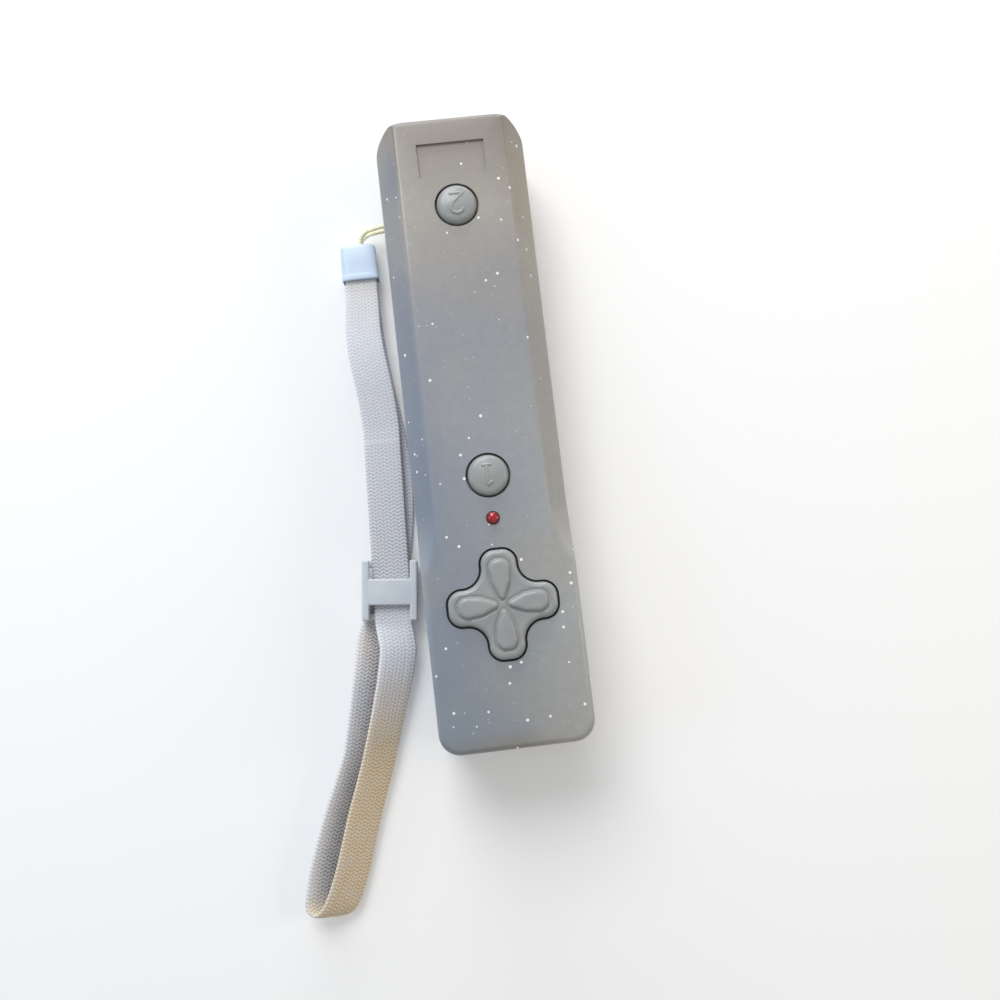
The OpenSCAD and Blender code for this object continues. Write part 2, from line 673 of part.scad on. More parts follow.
module lower_shell() {
    opening_y0 = door_y[0] - door_gap;
    opening_y1 = door_y[1] + door_gap;
    pocket_x = -hx + eyelet_deep;
    color(grey) {
        difference() {
            union() {
                shell(-1, parting_z);
                translate([-tub_half - tub_side, tub_y0 - tub_wall, wall / 2])
                    cube([2 * (tub_half + tub_side), tub_len + 2 * tub_wall, tub_roof_z + tub_wall - wall / 2]);
                translate([-tub_half - tub_side, opening_y0 - seat_rim, wall / 2])
                    cube([2 * (tub_half + tub_side), opening_y1 - opening_y0 + 2 * seat_rim,
                        door_seat_z + seat_t - wall / 2]);
                for (y = door_screw_y) translate([0, y, door_seat_z + eps])
                    cylinder(d = door_boss_d, h = door_boss_top - door_seat_z);
                for (p = screw_places) translate([p.x, p.y, wall / 2])
                    cylinder(d = column_d, h = parting_z - wall / 2);
                translate([-hx + eyelet_inset, eyelet_y - eyelet_w / 2 - eyelet_wall, eyelet_inset])
                    cube([eyelet_deep + eyelet_wall - eyelet_inset, eyelet_w + 2 * eyelet_wall,
                        eyelet_z + eyelet_h / 2 + eyelet_wall - eyelet_inset]);
            }
            rim(wall / 2, wall + 1, parting_z - lip_h - fit_gap, parting_z + 1);
            translate([-tub_half, tub_y0, -1]) cube([2 * tub_half, tub_len, tub_roof_z + 1]);
            translate([-door_half - door_gap, opening_y0, -1])
                cube([2 * (door_half + door_gap), opening_y1 - opening_y0, door_seat_z + 1]);
            for (y = door_screw_y) translate([0, y, door_seat_z - 1])
                cylinder(d = small_screw_d + shank_room, h = door_boss_top - door_seat_z);
            for (p = screw_places) translate([p.x, p.y, 0]) {
                translate([0, 0, -1]) cylinder(d = case_head_d + head_room, h = case_head_seat + 1);
                cylinder(d = case_screw_d + shank_room, h = parting_z + 1);
            }
            for (x = [-cell_x, cell_x]) translate([x - tab_w / 2 - fit_gap, tub_y0 - eps, tub_roof_z - 1])
                cube([tab_w + 2 * fit_gap, contact_t + fit_gap, tub_wall + 2]);
            translate([-hx - 1, eyelet_y - eyelet_w / 2, eyelet_z - eyelet_h / 2])
                cube([pocket_x + hx + 1, eyelet_w, eyelet_h]);
        }
        translate([eyelet_bar_x, eyelet_y + eyelet_w / 2 + eyelet_wall / 2, eyelet_z]) rotate([90, 0, 0])
            cylinder(r = eyelet_bar_r, h = eyelet_w + eyelet_wall);
    }
}

module battery_door() {
    r = door_corner_r;
    len = door_y[1] - door_y[0];
    color(grey) difference() {
        translate([0, 0, door_sunk]) linear_extrude(door_t) {
            translate([-door_half, door_y[0] + r]) square([2 * door_half, len - 2 * r]);
            translate([-door_half + r, door_y[0]]) square([2 * (door_half - r), len]);
            for (x = [r - door_half, door_half - r], y = [door_y[0] + r, door_y[1] - r])
                translate([x, y]) circle(r);
        }
        for (y = door_screw_y) translate([0, y, 0]) {
            translate([0, 0, -1]) cylinder(d = door_head_d + head_room, h = door_sunk + door_head_t + 1);
            cylinder(d = small_screw_d + shank_room, h = 3 * door_t);
        }
        for (k = [0:grip_lines - 1]) translate([0, tub_y1 - grip_from_tub - grip_pitch * k, door_sunk])
            rotate([0, 90, 0]) cylinder(d = grip_d, h = grip_w, center = true);
    }
}

module door_screws() {
    color("silver") for (y = door_screw_y) translate([0, y, door_sunk + door_head_t])
        screw(small_screw_d, door_head_d, door_head_t, door_screw_top - door_sunk - door_head_t);
}

module case_screws() {
    color("silver") for (p = screw_places) translate([p.x, p.y, case_head_seat])
        screw(case_screw_d, case_head_d, case_head_t, case_screw_top - case_head_seat);
}

// Keys

module round_button(y) {
    translate([0, y, 0]) {
        rounded_disc(button_d, button_flange_z + button_flange_t, case_h + button_proud, cap_edge_r);
        translate([0, 0, button_flange_z]) cylinder(d = button_flange_d, h = button_flange_t);
    }
}

module main_button() {
    color(pale_grey) round_button(main_y);
}

module rear_button() {
    color(pale_grey) round_button(rear_y);
}

module pill(z) {
    translate([0, 0, z]) cylinder(d = pill_d, h = pill_t);
}

module main_button_pill() {
    color("#2a2a2c") translate([0, main_y, 0]) pill(button_pill_z);
}

module rear_button_pill() {
    color("#2a2a2c") translate([0, rear_y, 0]) pill(button_pill_z);
}

// Hollow rubber dome on a board, with a nub over the pill: its half section
module dome_profile(foot, roof, skin, rim, top, pill_top) {
    base = board_top + rubber_t;
    polygon([
        [0, pill_top], [pill_d / 2 + nub_side, pill_top], [roof - skin, top - skin],
        [foot - skin, base - skin / 2], [foot - skin, board_top], [foot + rim, board_top],
        [foot + rim, base], [foot, base], [roof, top], [0, top],
    ]);
}

module button_membrane(y) {
    translate([0, y, 0]) rotate_extrude() dome_profile(dome_foot, dome_roof, dome_skin, dome_rim,
        button_flange_z - touch, button_pill_z + pill_t + touch);
}

module main_button_membrane() {
    color(rubber) button_membrane(main_y);
}

module rear_button_membrane() {
    color(rubber) button_membrane(rear_y);
}

module edge_profile_top(r, z0, z1, edge) {
    translate([0, z0]) square([r, z1 - edge - z0]);
    translate([0, z1 - edge]) square([r - edge, edge]);
    translate([r - edge, z1 - edge]) quarter_disc(edge);
}

// Plate with the cross's outline and a rounded upper edge, from z0 up
module dpad_plate(z0) {
    r = dpad_edge_r;
    sweep([
        cross_ring(dpad_span, dpad_arm_w, dpad_fillet_r, dpad_tip_r, 0, z0),
        for (k = [0:edge_steps]) let (t = 90 * k / edge_steps) cross_ring(dpad_span, dpad_arm_w,
            dpad_fillet_r, dpad_tip_r, r * (1 - cos(t)), dpad_top - r + r * sin(t)),
    ]);
}

module teardrop_pad() {
    r = pad_w / 2;
    hull() {
        translate([0, pad_reach - r, 0])
            rounded_disc(pad_w, dpad_top - pad_sunk, dpad_top + pad_rise, pad_edge_r, $fn = 32);
        translate([0, pad_waist, 0]) rounded_disc(pad_w * pad_waist_share, dpad_top - pad_sunk,
            dpad_top + pad_rise, pad_edge_r, $fn = 32);
        translate([0, pad_tip, dpad_top - pad_sunk])
            cylinder(r = pad_tip_r, h = pad_sunk + pad_rise / 2, $fn = 16);
    }
}

module dpad() {
    color(pale_grey) translate([0, dpad_y, 0]) difference() {
        union() {
            dpad_plate(dpad_flange_z + dpad_flange_t / 2);
            translate([0, 0, dpad_flange_z]) linear_extrude(dpad_flange_t) cross_outline(
                dpad_hole_span + 2 * flange_rim, dpad_hole_arm + 2 * flange_rim, dpad_hole_fillet - flange_rim,
                dpad_hole_tip + flange_rim);
            for (turn = [0:90:270]) rotate(turn) teardrop_pad();
        }
        translate([0, 0, pivot_z]) sphere(r = pivot_r + pivot_fit);
        translate([0, 0, dpad_flange_z - 1]) cylinder(r = socket_r, h = pivot_z - dpad_flange_z + 1);
    }
}

module dpad_pills() {
    color("#2a2a2c") translate([0, dpad_y, 0]) for (turn = [0:90:270]) rotate(turn)
        translate([0, dpad_pill_ring, 0]) pill(dpad_pill_z);
}

module dpad_membrane() {
    half = dpad_rubber_w / 2;
    color(rubber) translate([0, dpad_y, 0]) {
        translate([0, 0, board_top]) difference() {
            translate([-half, -half, 0]) cube([2 * half, 2 * half, rubber_t]);
            translate([0, 0, -1]) cylinder(r = post_hole_r, h = rubber_t + 2);
            for (turn = [0:90:270]) rotate(turn) translate([0, dpad_pill_ring, -1])
                cylinder(r = dpad_dome_foot + dpad_dome_rim / 2, h = rubber_t + 2);
        }
        for (turn = [0:90:270]) rotate(turn) translate([0, dpad_pill_ring, 0]) rotate_extrude()
            dome_profile(dpad_dome_foot, dpad_dome_roof, dpad_dome_skin, dpad_dome_rim,
                dpad_flange_z - touch, dpad_pill_z + pill_t + touch);
    }
}

module dpad_pivot_ball() {
    color("silver") translate([0, dpad_y, pivot_z]) sphere(r = pivot_r);
}

module dpad_pivot_post() {
    color(grey) translate([0, dpad_y, 0]) difference() {
        translate([0, 0, board_top]) cylinder(r = post_r, h = pivot_z - board_top);
        translate([0, 0, pivot_z]) sphere(r = pivot_r + pivot_fit);
    }
}

module indicator_led() {
    z0 = in_top - fit_gap - led_flange_t;
    dome_z = case_h + led_proud - led_d / 2;
    color("#c01822") translate([0, led_y, 0]) {
        translate([0, 0, z0]) cylinder(d = led_flange_d, h = led_flange_t);
        translate([0, 0, z0 + led_flange_t - eps]) cylinder(d = led_d, h = dome_z - z0 - led_flange_t + eps);
        translate([0, 0, dome_z]) sphere(d = led_d);
        for (side = [-1, 1]) translate([side * led_lead_pitch / 2, 0, board_top])
            cylinder(d = led_lead_d, h = z0 - board_top + eps);
    }
}

// Boards and what they carry

module board(x_half, y0, y1, holes) {
    difference() {
        translate([-x_half, y0, board_bottom]) cube([2 * x_half, y1 - y0, board_t]);
        for (p = holes) translate([p.x, p.y, board_bottom - 1])
            cylinder(d = small_screw_d + shank_room, h = board_t + 2);
    }
}

module main_board() {
    color("#2f6b3a") board(main_board_w / 2, main_board_y[0], main_board_y[1],
        [for (x = [-main_post_x, main_post_x], y = main_post_ends) [x, y]]);
}

module rear_board() {
    color("#2f6b3a") board(rear_board_w / 2, rear_y - rear_board_half, rear_y + rear_board_half, rear_posts);
}

module board_screws() {
    color("silver") for (p = board_posts()) translate([p.x, p.y, board_bottom])
        screw(small_screw_d, small_screw_d + screw_head_over, screw_head_t, board_screw_len);
}

module board_ribbon() {
    t = ribbon_t;
    y0 = main_board_y[1] - ribbon_lap;
    y1 = rear_y - rear_board_half + ribbon_lap;
    z = board_bottom;
    low = z - ribbon_dip;
    color("#b9bcc4") translate([-ribbon_w / 2, 0, 0]) rotate([90, 0, 90]) linear_extrude(ribbon_w) polygon([
        [y0, z], [y0, z - t], [y0 + ribbon_bend, low - t], [y1 - ribbon_bend, low - t], [y1, z - t], [y1, z],
        [y1 - t, z], [y1 - ribbon_bend, low], [y0 + ribbon_bend, low], [y0 + t, z],
    ]);
}

module controller_chip() {
    r = (pow(chip_d / 2, 2) + pow(chip_rise, 2)) / (2 * chip_rise);
    color("#1c1c1e") translate([chip_at.x, chip_at.y, board_bottom]) intersection() {
        translate([0, 0, r - chip_rise]) sphere(r = r);
        translate([0, 0, -2 * chip_rise]) cylinder(d = 2 * chip_d, h = 2 * chip_rise);
    }
}

module crystal() {
    size = crystal_size;
    color("silver") translate([crystal_at.x, crystal_at.y, board_bottom - size.z]) {
        translate([-size.x / 2 + size.y / 2, -size.y / 2, 0]) cube([size.x - size.y, size.y, size.z]);
        for (side = [0, 180]) rotate(side) translate([size.x / 2 - size.y / 2, 0, 0]) rotate(-90)
            rotate_extrude(angle = 180) square([size.y / 2, size.z]);
    }
}

module motion_switch() {
    leg_h = can_d / 2 + can_room;
    color("#b8a15a") translate([0, can_y, board_bottom - leg_h]) {
        rotate([0, 90, 0]) cylinder(d = can_d, h = can_len, center = true);
        for (side = [-1, 1]) translate([side * (can_len / 2 - can_leg_in), 0, leg_h / 2])
            cube([can_leg.y, can_leg.x, leg_h], center = true);
    }
}

module antenna_wire() {
    color("#30343c") round_cord(smooth(antenna_route, strap_steps), antenna_d, wire_sides, [1, 0, 0]);
}

module lead_red() {
    color("#b32020") round_cord(smooth(lead_red_route, strap_steps), lead_d, wire_sides);
}

module lead_black() {
    color("#202022") round_cord(smooth(lead_black_route, strap_steps), lead_d, wire_sides);
}

// Power

module contact_plate(x) {
    translate([x - contact_w / 2, 0, cell_z - contact_h / 2]) cube([contact_w, contact_t, contact_h]);
}

module contact_tab(x) {
    translate([x - tab_w / 2, tub_y0, cell_z]) cube([tab_w, contact_t, tab_top - lead_d / 2 - cell_z]);
}

// Conical spring along +Y from its wide end, half sunk into its plate's face at y = 0
function spring_path() =
    let (n = spring_turns * spring_rings)
    [for (k = [0:n])
        let (f = k / n, r = spring_r0 + (spring_r1 - spring_r0) * f, a = 360 * spring_turns * f)
        [r * cos(a), (spring_len - spring_wire_d / 2 - touch) * f, r * sin(a)]];
function spring_gap() =
    let (p = spring_path(), n = len(p))
    min([for (i = [0:n - 1], j = [i + spring_rings / 2:1:n - 1]) norm(p[j] - p[i])]) - spring_wire_d;
echo(least_gap_between_spring_turns = spring_gap());

module contact_spring() {
    round_cord(spring_path(), spring_wire_d, spring_sides, [1, 0, 0]);
}

module front_positive_contact() {
    color(brass) {
        translate([0, tub_y0, 0]) contact_plate(-cell_x);
        contact_tab(-cell_x);
    }
}

module front_negative_contact() {
    color(brass) {
        translate([0, tub_y0, 0]) contact_plate(cell_x);
        contact_tab(cell_x);
        translate([cell_x, tub_y0 + contact_t, cell_z]) contact_spring();
    }
}

module rear_bridge_contact() {
    y = tub_y1 - contact_t;
    color(brass) {
        translate([0, y, 0]) for (x = [-cell_x, cell_x]) contact_plate(x);
        translate([-cell_x, y, cell_z - contact_h / 4]) cube([2 * cell_x, contact_t, contact_h / 2]);
        translate([-cell_x, y, cell_z]) rotate(180) contact_spring();
    }
}

// Cell with its nub at y = 0, pointing along -Y
module cell() {
    r = cell_d / 2;
    rotate([-90, 0, 0]) {
        cylinder(d = nub_d, h = nub_len + 1);
        rotate_extrude() {
            translate([0, nub_len]) square([r - cell_edge_r, cell_len - nub_len]);
            translate([0, nub_len + cell_edge_r]) square([r, cell_len - nub_len - 2 * cell_edge_r]);
            translate([r - cell_edge_r, cell_len - cell_edge_r]) quarter_disc(cell_edge_r);
            translate([r - cell_edge_r, nub_len + cell_edge_r]) mirror([0, 1]) quarter_disc(cell_edge_r);
        }
    }
}

module aaa_cell_left() {
    color("#3b4a63") translate([-cell_x, tub_y0 + contact_t + touch, cell_z]) cell();
}

module aaa_cell_right() {
    color("#3b4a63") translate([cell_x, tub_y1 - contact_t - touch, cell_z]) rotate(180) cell();
}

// Wrist strap

module lanyard_cord() {
    color("#e6d9a8") round_cord(smooth(cord_route, strap_steps), cord_d, wire_sides);
}

module strap_cap() {
    r = cap_round;
    half = cap_size / 2;
    pocket = [strap_neck * webbing_w + 2 * cap_fit, 2 * cap_pocket, webbing_t + 2 * cap_fit];
    color("#e8eef6") difference() {
        translate(cap_at) hull() for (x = [-1, 1], y = [-1, 1])
            translate([x * (half.x - r), y * (half.y - r), 0]) rotate_extrude($fn = 24)
                for (flip = [0, 1]) mirror([0, flip]) edge_profile_top(r, 0, half.z, r * 0.8);
        for (z = [layer_low, layer_top])
            translate([front_route[0].x - pocket.x / 2, cap_at.y - half.y - cap_pocket, z - pocket.z / 2])
                cube(pocket);
        for (z = cord_bores_z) translate([cord_bore_x, cap_at.y + half.y + 1, z]) rotate([90, 0, 0])
            cylinder(d = cord_d + 2 * cap_fit, h = cord_bore_deep + 1);
    }
}

module strap_front_run() {
    color(strap_white) webbing(front_route);
}

module strap_back_run() {
    color(strap_white) webbing(back_route);
}

module wrist_loop() {
    color(strap_white) webbing(loop_route);
}

module strap_slider() {
    w = slider_w / 2;
    l = slider_len / 2;
    h = slider_z1 - slider_z0;
    color("#e8eef6") translate([slider_at.x, slider_at.y, 0]) rotate(slider_turn) {
        for (side = [0, 1]) mirror([side, 0, 0]) translate([w - slider_rail, l, slider_z0]) rotate([90, 0, 0])
            linear_extrude(slider_len) {
                square([slider_rail, h - slider_edge_r]);
                square([slider_rail - slider_edge_r, h]);
                translate([-slider_lip, h - slider_mid_t]) square([slider_rail, slider_mid_t]);
                translate([slider_rail - slider_edge_r, h - slider_edge_r]) quarter_disc(slider_edge_r);
            }
        translate([-w + slider_rail, slider_mid_y - slider_bar / 2, slider_z1 - slider_mid_t])
            cube([2 * (w - slider_rail), slider_bar, slider_mid_t]);
        for (y = [-l, l - slider_end]) translate([-w + slider_rail, y, slider_z0])
            cube([2 * (w - slider_rail), slider_end, slider_bar_t]);
    }
}

upper_shell();
lower_shell();
battery_door();
door_screws();
case_screws();
main_button();
main_button_pill();
main_button_membrane();
rear_button();
rear_button_pill();
rear_button_membrane();
dpad();
dpad_pills();
dpad_membrane();
dpad_pivot_ball();
dpad_pivot_post();
indicator_led();
main_board();
rear_board();
board_screws();
board_ribbon();
controller_chip();
crystal();
motion_switch();
antenna_wire();
lead_red();
lead_black();
front_positive_contact();
front_negative_contact();
rear_bridge_contact();
aaa_cell_left();
aaa_cell_right();
lanyard_cord();
strap_cap();
strap_front_run();
strap_back_run();
wrist_loop();
strap_slider();
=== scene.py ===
"""Studio picture of the motion controller wand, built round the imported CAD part.

Lengths are in millimetres, and MM turns them into metres where Blender takes them. Only the
studio at the end is in metres. +Z is up out of the button face and +Y points to the rear end,
as in the CAD.
"""

import json
import math

import bpy
import numpy as np
from mathutils import Euler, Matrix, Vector
from mathutils.geometry import delaunay_2d_cdt


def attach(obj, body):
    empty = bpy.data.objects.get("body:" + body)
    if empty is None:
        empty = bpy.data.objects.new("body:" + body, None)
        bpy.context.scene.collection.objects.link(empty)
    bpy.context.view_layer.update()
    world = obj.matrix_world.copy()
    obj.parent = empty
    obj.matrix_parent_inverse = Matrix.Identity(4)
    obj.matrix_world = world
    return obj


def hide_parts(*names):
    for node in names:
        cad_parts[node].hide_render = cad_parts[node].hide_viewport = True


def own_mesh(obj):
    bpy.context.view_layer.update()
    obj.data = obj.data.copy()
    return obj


MM = 0.001

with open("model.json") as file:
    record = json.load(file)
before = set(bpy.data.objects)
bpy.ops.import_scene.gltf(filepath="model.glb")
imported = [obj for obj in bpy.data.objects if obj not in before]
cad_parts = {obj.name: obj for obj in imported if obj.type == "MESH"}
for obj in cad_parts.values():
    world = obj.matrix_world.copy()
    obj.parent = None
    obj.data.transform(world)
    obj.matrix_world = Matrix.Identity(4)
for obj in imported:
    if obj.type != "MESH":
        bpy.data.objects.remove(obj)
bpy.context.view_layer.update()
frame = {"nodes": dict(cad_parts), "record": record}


# Camera

CAMERA_AT = (-7.2, -37.6, 255.5)
CAMERA_TURN = (5.07, -1.73, -6.65)  # degrees
CAMERA_LENS = 36
SENSOR_WIDTH = 36
CLIP_START = 10

camera_data = bpy.data.cameras.new("camera")
camera_data.lens = CAMERA_LENS
camera_data.sensor_width = SENSOR_WIDTH
camera_data.clip_start = CLIP_START * MM
camera = bpy.data.objects.new("camera", camera_data)
camera.location = Vector(CAMERA_AT) * MM
camera.rotation_euler = Euler([math.radians(a) for a in CAMERA_TURN])
bpy.context.collection.objects.link(camera)
bpy.context.scene.camera = camera


# Meshes

AXIS_R = 0.01  # radius at which a turned profile ends, so that its points don't meet
SHARP_ANGLE = 50  # degrees between two faces from which their edge stays sharp


def unit(v):
    return v / np.linalg.norm(v, axis=-1, keepdims=True)


def share_between(value, start, end):
    """0 up to start and 1 from end on, straight between them."""
    return np.clip((value - start) / (end - start), 0, 1)


def spline(route, per_span=24):
    """Points of a Catmull-Rom curve through the rows of route, with all their columns."""
    p = np.array(route, float)
    p = np.vstack([2 * p[0] - p[1], p, 2 * p[-1] - p[-2]])
    t = np.linspace(0, 1, per_span, endpoint=False)[:, None]
    spans = [
        0.5 * (
            2 * b + (c - a) * t
            + (2 * a - 5 * b + 4 * c - d) * t**2
            + (3 * b - a - 3 * c + d) * t**3
        )
        for a, b, c, d in zip(p, p[1:], p[2:], p[3:])
    ]
    return np.vstack(spans + [p[-2]])


def arc_lengths(points):
    """How far along its line each point is."""
    steps = np.linalg.norm(np.diff(points[:, :3], axis=0), axis=1)
    return np.append(0, np.cumsum(steps))


def evenly(points, step):
    """The same line with points about step apart."""
    s = arc_lengths(points)
    at = np.linspace(0, s[-1], max(2, round(s[-1] / step)) + 1)
    return np.column_stack([np.interp(at, s, column) for column in points.T])


def carried_normals(points, first=(0, 0, 1)):
    """Two normals at each point, carried along the line without twist."""
    along = unit(np.gradient(points, axis=0))
    normals = [np.array(first, float)]
    for t in along:
        n = normals[-1] - normals[-1] @ t * t
        normals.append(n / np.linalg.norm(n))
    normals = np.array(normals[1:])
    return normals, np.cross(along, normals)


def lofted(rings, closed=False):
    """Points and faces of a skin over rings, given as (ring, point, xyz).

    It is capped at both ends, or goes on to its first ring if it is closed."""
    count, size = rings.shape[:2]
    index = np.arange(count * size).reshape(count, size)
    caps = [] if closed else [index[0][::-1].tolist(), index[-1].tolist()]
    if closed:
        index = np.vstack([index, index[:1]])
    right = np.roll(index, -1, axis=1)
    quads = np.stack([index[:-1], right[:-1], right[1:], index[1:]], axis=-1)
    return rings.reshape(-1, 3), quads.reshape(-1, 4).tolist() + caps


def joined(*parts):
    """One set of points and faces from several."""
    points, faces = [], []
    for p, f in parts:
        start = sum(map(len, points))
        points.append(p)
        faces += [[i + start for i in face] for face in f]
    return np.vstack(points), faces


def tube(points, radius, sides=10):
    """Round skin along a line; radius is one value, or one for each point."""
    u, v = carried_normals(points)
    a = np.linspace(0, 2 * np.pi, sides, endpoint=False)[None, :, None]
    radius = np.broadcast_to(radius, len(points))[:, None, None]
    return lofted(points[:, None] + radius * (np.cos(a) * u[:, None] + np.sin(a) * v[:, None]))


def revolved(profile, centre, sides=96, closed=False):
    """Skin of a profile of (radius, z) turned about a vertical axis."""
    r, z = np.array(profile, float).T
    a = np.linspace(0, 2 * np.pi, sides, endpoint=False)
    rings = np.stack([
        centre[0] + r[:, None] * np.cos(a),
        centre[1] + r[:, None] * np.sin(a),
        np.repeat(z[:, None], sides, axis=1),
    ], axis=-1)
    return lofted(rings, closed)


def rounded(centre, radius, start, end, steps=8):
    """Points of an arc in a profile or outline, from angle start to end in degrees."""
    return [
        (centre[0] + radius * math.cos(a), centre[1] + radius * math.sin(a))
        for a in np.radians(np.linspace(start, end, steps + 1))
    ]


def dome_arc(radius, foot_z, height, end, count):
    """Points of a dome's profile from its foot to the angle end, in radians, short of its pole."""
    return [
        (radius * math.cos(a), foot_z + height * math.sin(a)) for a in np.linspace(0, end, count)
    ]


def piece(name, shape, material, body="casing", stands_for=(), smooth_angle=None):
    """Makes an object that rides a CAD body, and stands for CAD nodes."""
    points, faces = shape
    mesh = bpy.data.meshes.new(name)
    mesh.from_pydata((np.asarray(points) * MM).tolist(), [], faces)
    mesh.validate()
    mesh.shade_smooth()
    if smooth_angle:
        mesh.set_sharp_from_angle(angle=math.radians(smooth_angle))
    mesh.materials.append(material)
    obj = bpy.data.objects.new(name, mesh)
    bpy.context.collection.objects.link(obj)
    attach(obj, body)
    if stands_for:
        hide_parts(*stands_for)
    return obj


def vertex_values(obj, name, values):
    """Gives each point of an object a value that its material can read by name."""
    attribute = obj.data.attributes.new(name, "FLOAT", "POINT")
    attribute.data.foreach_set("value", np.asarray(values, float).ravel())


# Finishes, with colours in sRGB from 0 to 255 and noise scales per metre

BUMP_STRENGTH = 0.3
GRAIN_SCALE = 2500
GRAIN_DEPTH = 0.02
ROUGHNESS_DRIFT = 0.15
SPECK_EDGE = 30  # how sharply a speck of glitter ends


def srgb(r, g, b):
    """Linear colour of an sRGB one."""
    return tuple(
        c / 12.92 if c <= 0.04045 else ((c + 0.055) / 1.055) ** 2.4
        for c in (r / 255, g / 255, b / 255)
    ) + (1,)


class Finish:
    """A material's node tree, with short ways to add to it."""

    def __init__(self, name, roughness=0.4, metallic=0.0, coat=0.0):
        self.material = bpy.data.materials.new(name)
        self.material.use_nodes = True
        self.tree = self.material.node_tree
        self.surface = self.tree.nodes["Principled BSDF"]
        self.surface.inputs["Roughness"].default_value = roughness
        self.surface.inputs["Metallic"].default_value = metallic
        self.surface.inputs["Coat Weight"].default_value = coat
        self.place = self.add("ShaderNodeTexCoord").outputs["Object"]

    def add(self, kind, inputs=(), **settings):
        """A new node with its settings made, and its inputs set or linked."""
        made = self.tree.nodes.new(kind)
        for key, value in settings.items():
            setattr(made, key, value)
        for key, value in dict(inputs).items():
            if isinstance(value, bpy.types.NodeSocket):
                self.tree.links.new(value, made.inputs[key])
            else:
                made.inputs[key].default_value = value
        return made

    def set(self, socket, value):
        """Links a value to the surface."""
        self.tree.links.new(value, self.surface.inputs[socket])

    def math(self, operation, a, b, clamp=False):
        made = self.add("ShaderNodeMath", {0: a, 1: b}, operation=operation, use_clamp=clamp)
        return made.outputs[0]

    def mix(self, factor, a, b):
        """Colour between a and b."""
        made = self.add("ShaderNodeMix", data_type="RGBA")
        for key, value in (("Factor_Float", factor), ("A_Color", a), ("B_Color", b)):
            socket = next(i for i in made.inputs if i.identifier == key)
            if isinstance(value, bpy.types.NodeSocket):
                self.tree.links.new(value, socket)
            else:
                socket.default_value = value
        return next(o for o in made.outputs if o.identifier == "Result_Color")

    def ramp(self, factor, *stops):
        """Colours at places along a factor, given as (place, colour)."""
        made = self.add("ShaderNodeValToRGB", {"Fac": factor})
        points = made.color_ramp.elements
        while len(points) < len(stops):
            points.new(0.5)
        for point, (at, colour) in zip(points, stops):
            point.position, point.color = at, srgb(*colour)
        return made.outputs["Color"]

    def spread(self, value, low, high, to_low=0.0, to_high=1.0):
        """Maps a value from one range to another, held at both ends, without a kink."""
        return self.add("ShaderNodeMapRange", {
            "Value": value, "From Min": low, "From Max": high,
            "To Min": to_low, "To Max": to_high,
        }, interpolation_type="SMOOTHSTEP").outputs["Result"]

    def noise(self, scale, detail=2.0):
        return self.add(
            "ShaderNodeTexNoise", {"Vector": self.place, "Scale": scale, "Detail": detail}
        ).outputs["Fac"]

    def drift(self, scale, dark, light, low=0.35, high=0.65):
        """Colour that drifts from dark, where noise is low, to light."""
        return self.ramp(self.noise(scale), (low, dark), (high, light))

    def patches(self, colour, other, scale, most, low=0.3, high=0.7, detail=2.0):
        """Blends another colour in where noise is high, up to a share of most."""
        share = self.spread(self.noise(scale, detail), low, high, 0, most)
        return self.mix(share, colour, srgb(*other))

    def uneven(self, scale, least, most):
        """Lets the roughness drift between two values."""
        self.set("Roughness", self.spread(self.noise(scale), 0.3, 0.7, least, most))

    def specks(self, cell, share, largest):
        """Mask of dots in that share of cells of that size, up to largest cells in radius."""
        cells = self.add("ShaderNodeTexVoronoi", {"Vector": self.place, "Scale": 1 / (cell * MM)})
        split = self.add("ShaderNodeSeparateColor", {"Color": cells.outputs["Color"]})
        radius = self.spread(split.outputs["Red"], 1 - share, 1, 0, largest)
        inside = self.math("SUBTRACT", radius, cells.outputs["Distance"])
        return self.math("MULTIPLY", inside, SPECK_EDGE, clamp=True)

    def bump(self, scale, depth):
        """Fine relief of noise."""
        made = self.add("ShaderNodeBump", {
            "Height": self.noise(scale), "Strength": BUMP_STRENGTH, "Distance": depth * MM,
        })
        self.set("Normal", made.outputs["Normal"])


def mottled(name, dark, light, scale, roughness, metallic, coat):
    """A finish whose colour and roughness drift a little, over a fine grain."""
    f = Finish(name, roughness, metallic, coat)
    f.set("Base Color", f.drift(scale, dark, light))
    f.uneven(3 * scale, roughness * (1 - ROUGHNESS_DRIFT), roughness * (1 + ROUGHNESS_DRIFT))
    f.bump(GRAIN_SCALE, GRAIN_DEPTH)
    return f.material


# The casing's grey along its length, with painted shade toward both ends, a painted warm reflection
# near the rear button, and a painted olive reflection on the front edge
CASING_GREY_AND_PAINTED_LIGHT = [  # y, colour
    (-75, (140, 134, 122)), (-70, (144, 150, 156)), (0, (157, 160, 166)),
    (36, (151, 152, 157)), (52, (170, 165, 157)), (73, (142, 134, 126)),
]
# Toward the front, painted shade with a cool reflection darkens the left half of the casing, and
# painted light brightens the right half
SIDE_SHADING = [  # side of x, y where the front tint is full, its strength, its colour, the chamfer's
    (-1, -20, 0.52, (122, 136, 155), (92, 108, 132)),
    (1, -45, 0.55, (182, 186, 182), (146, 138, 120)),
]
FRONT_SHADING_Y = 35  # where the front tints start
FRONT_SHADING_X = 17  # where they are full
# Painted reflections on the chamfers, cool blue on the left and warm olive on the right, both
# darker than the grey
CHAMFER_REFLECTION_X = (12.8, 14.2)  # where the chamfers' tints start and are full
CHAMFER_REFLECTION_Z = (16, 19)
CHAMFER_REFLECTION_ENDS = [(73, 64), (-34, -16)]  # y where they are gone and full, at either end
CHAMFER_REFLECTION_CHANGE = (30, 52)  # y between which their strength changes
CHAMFER_REFLECTION_STRENGTHS = (0.45, 0.65)


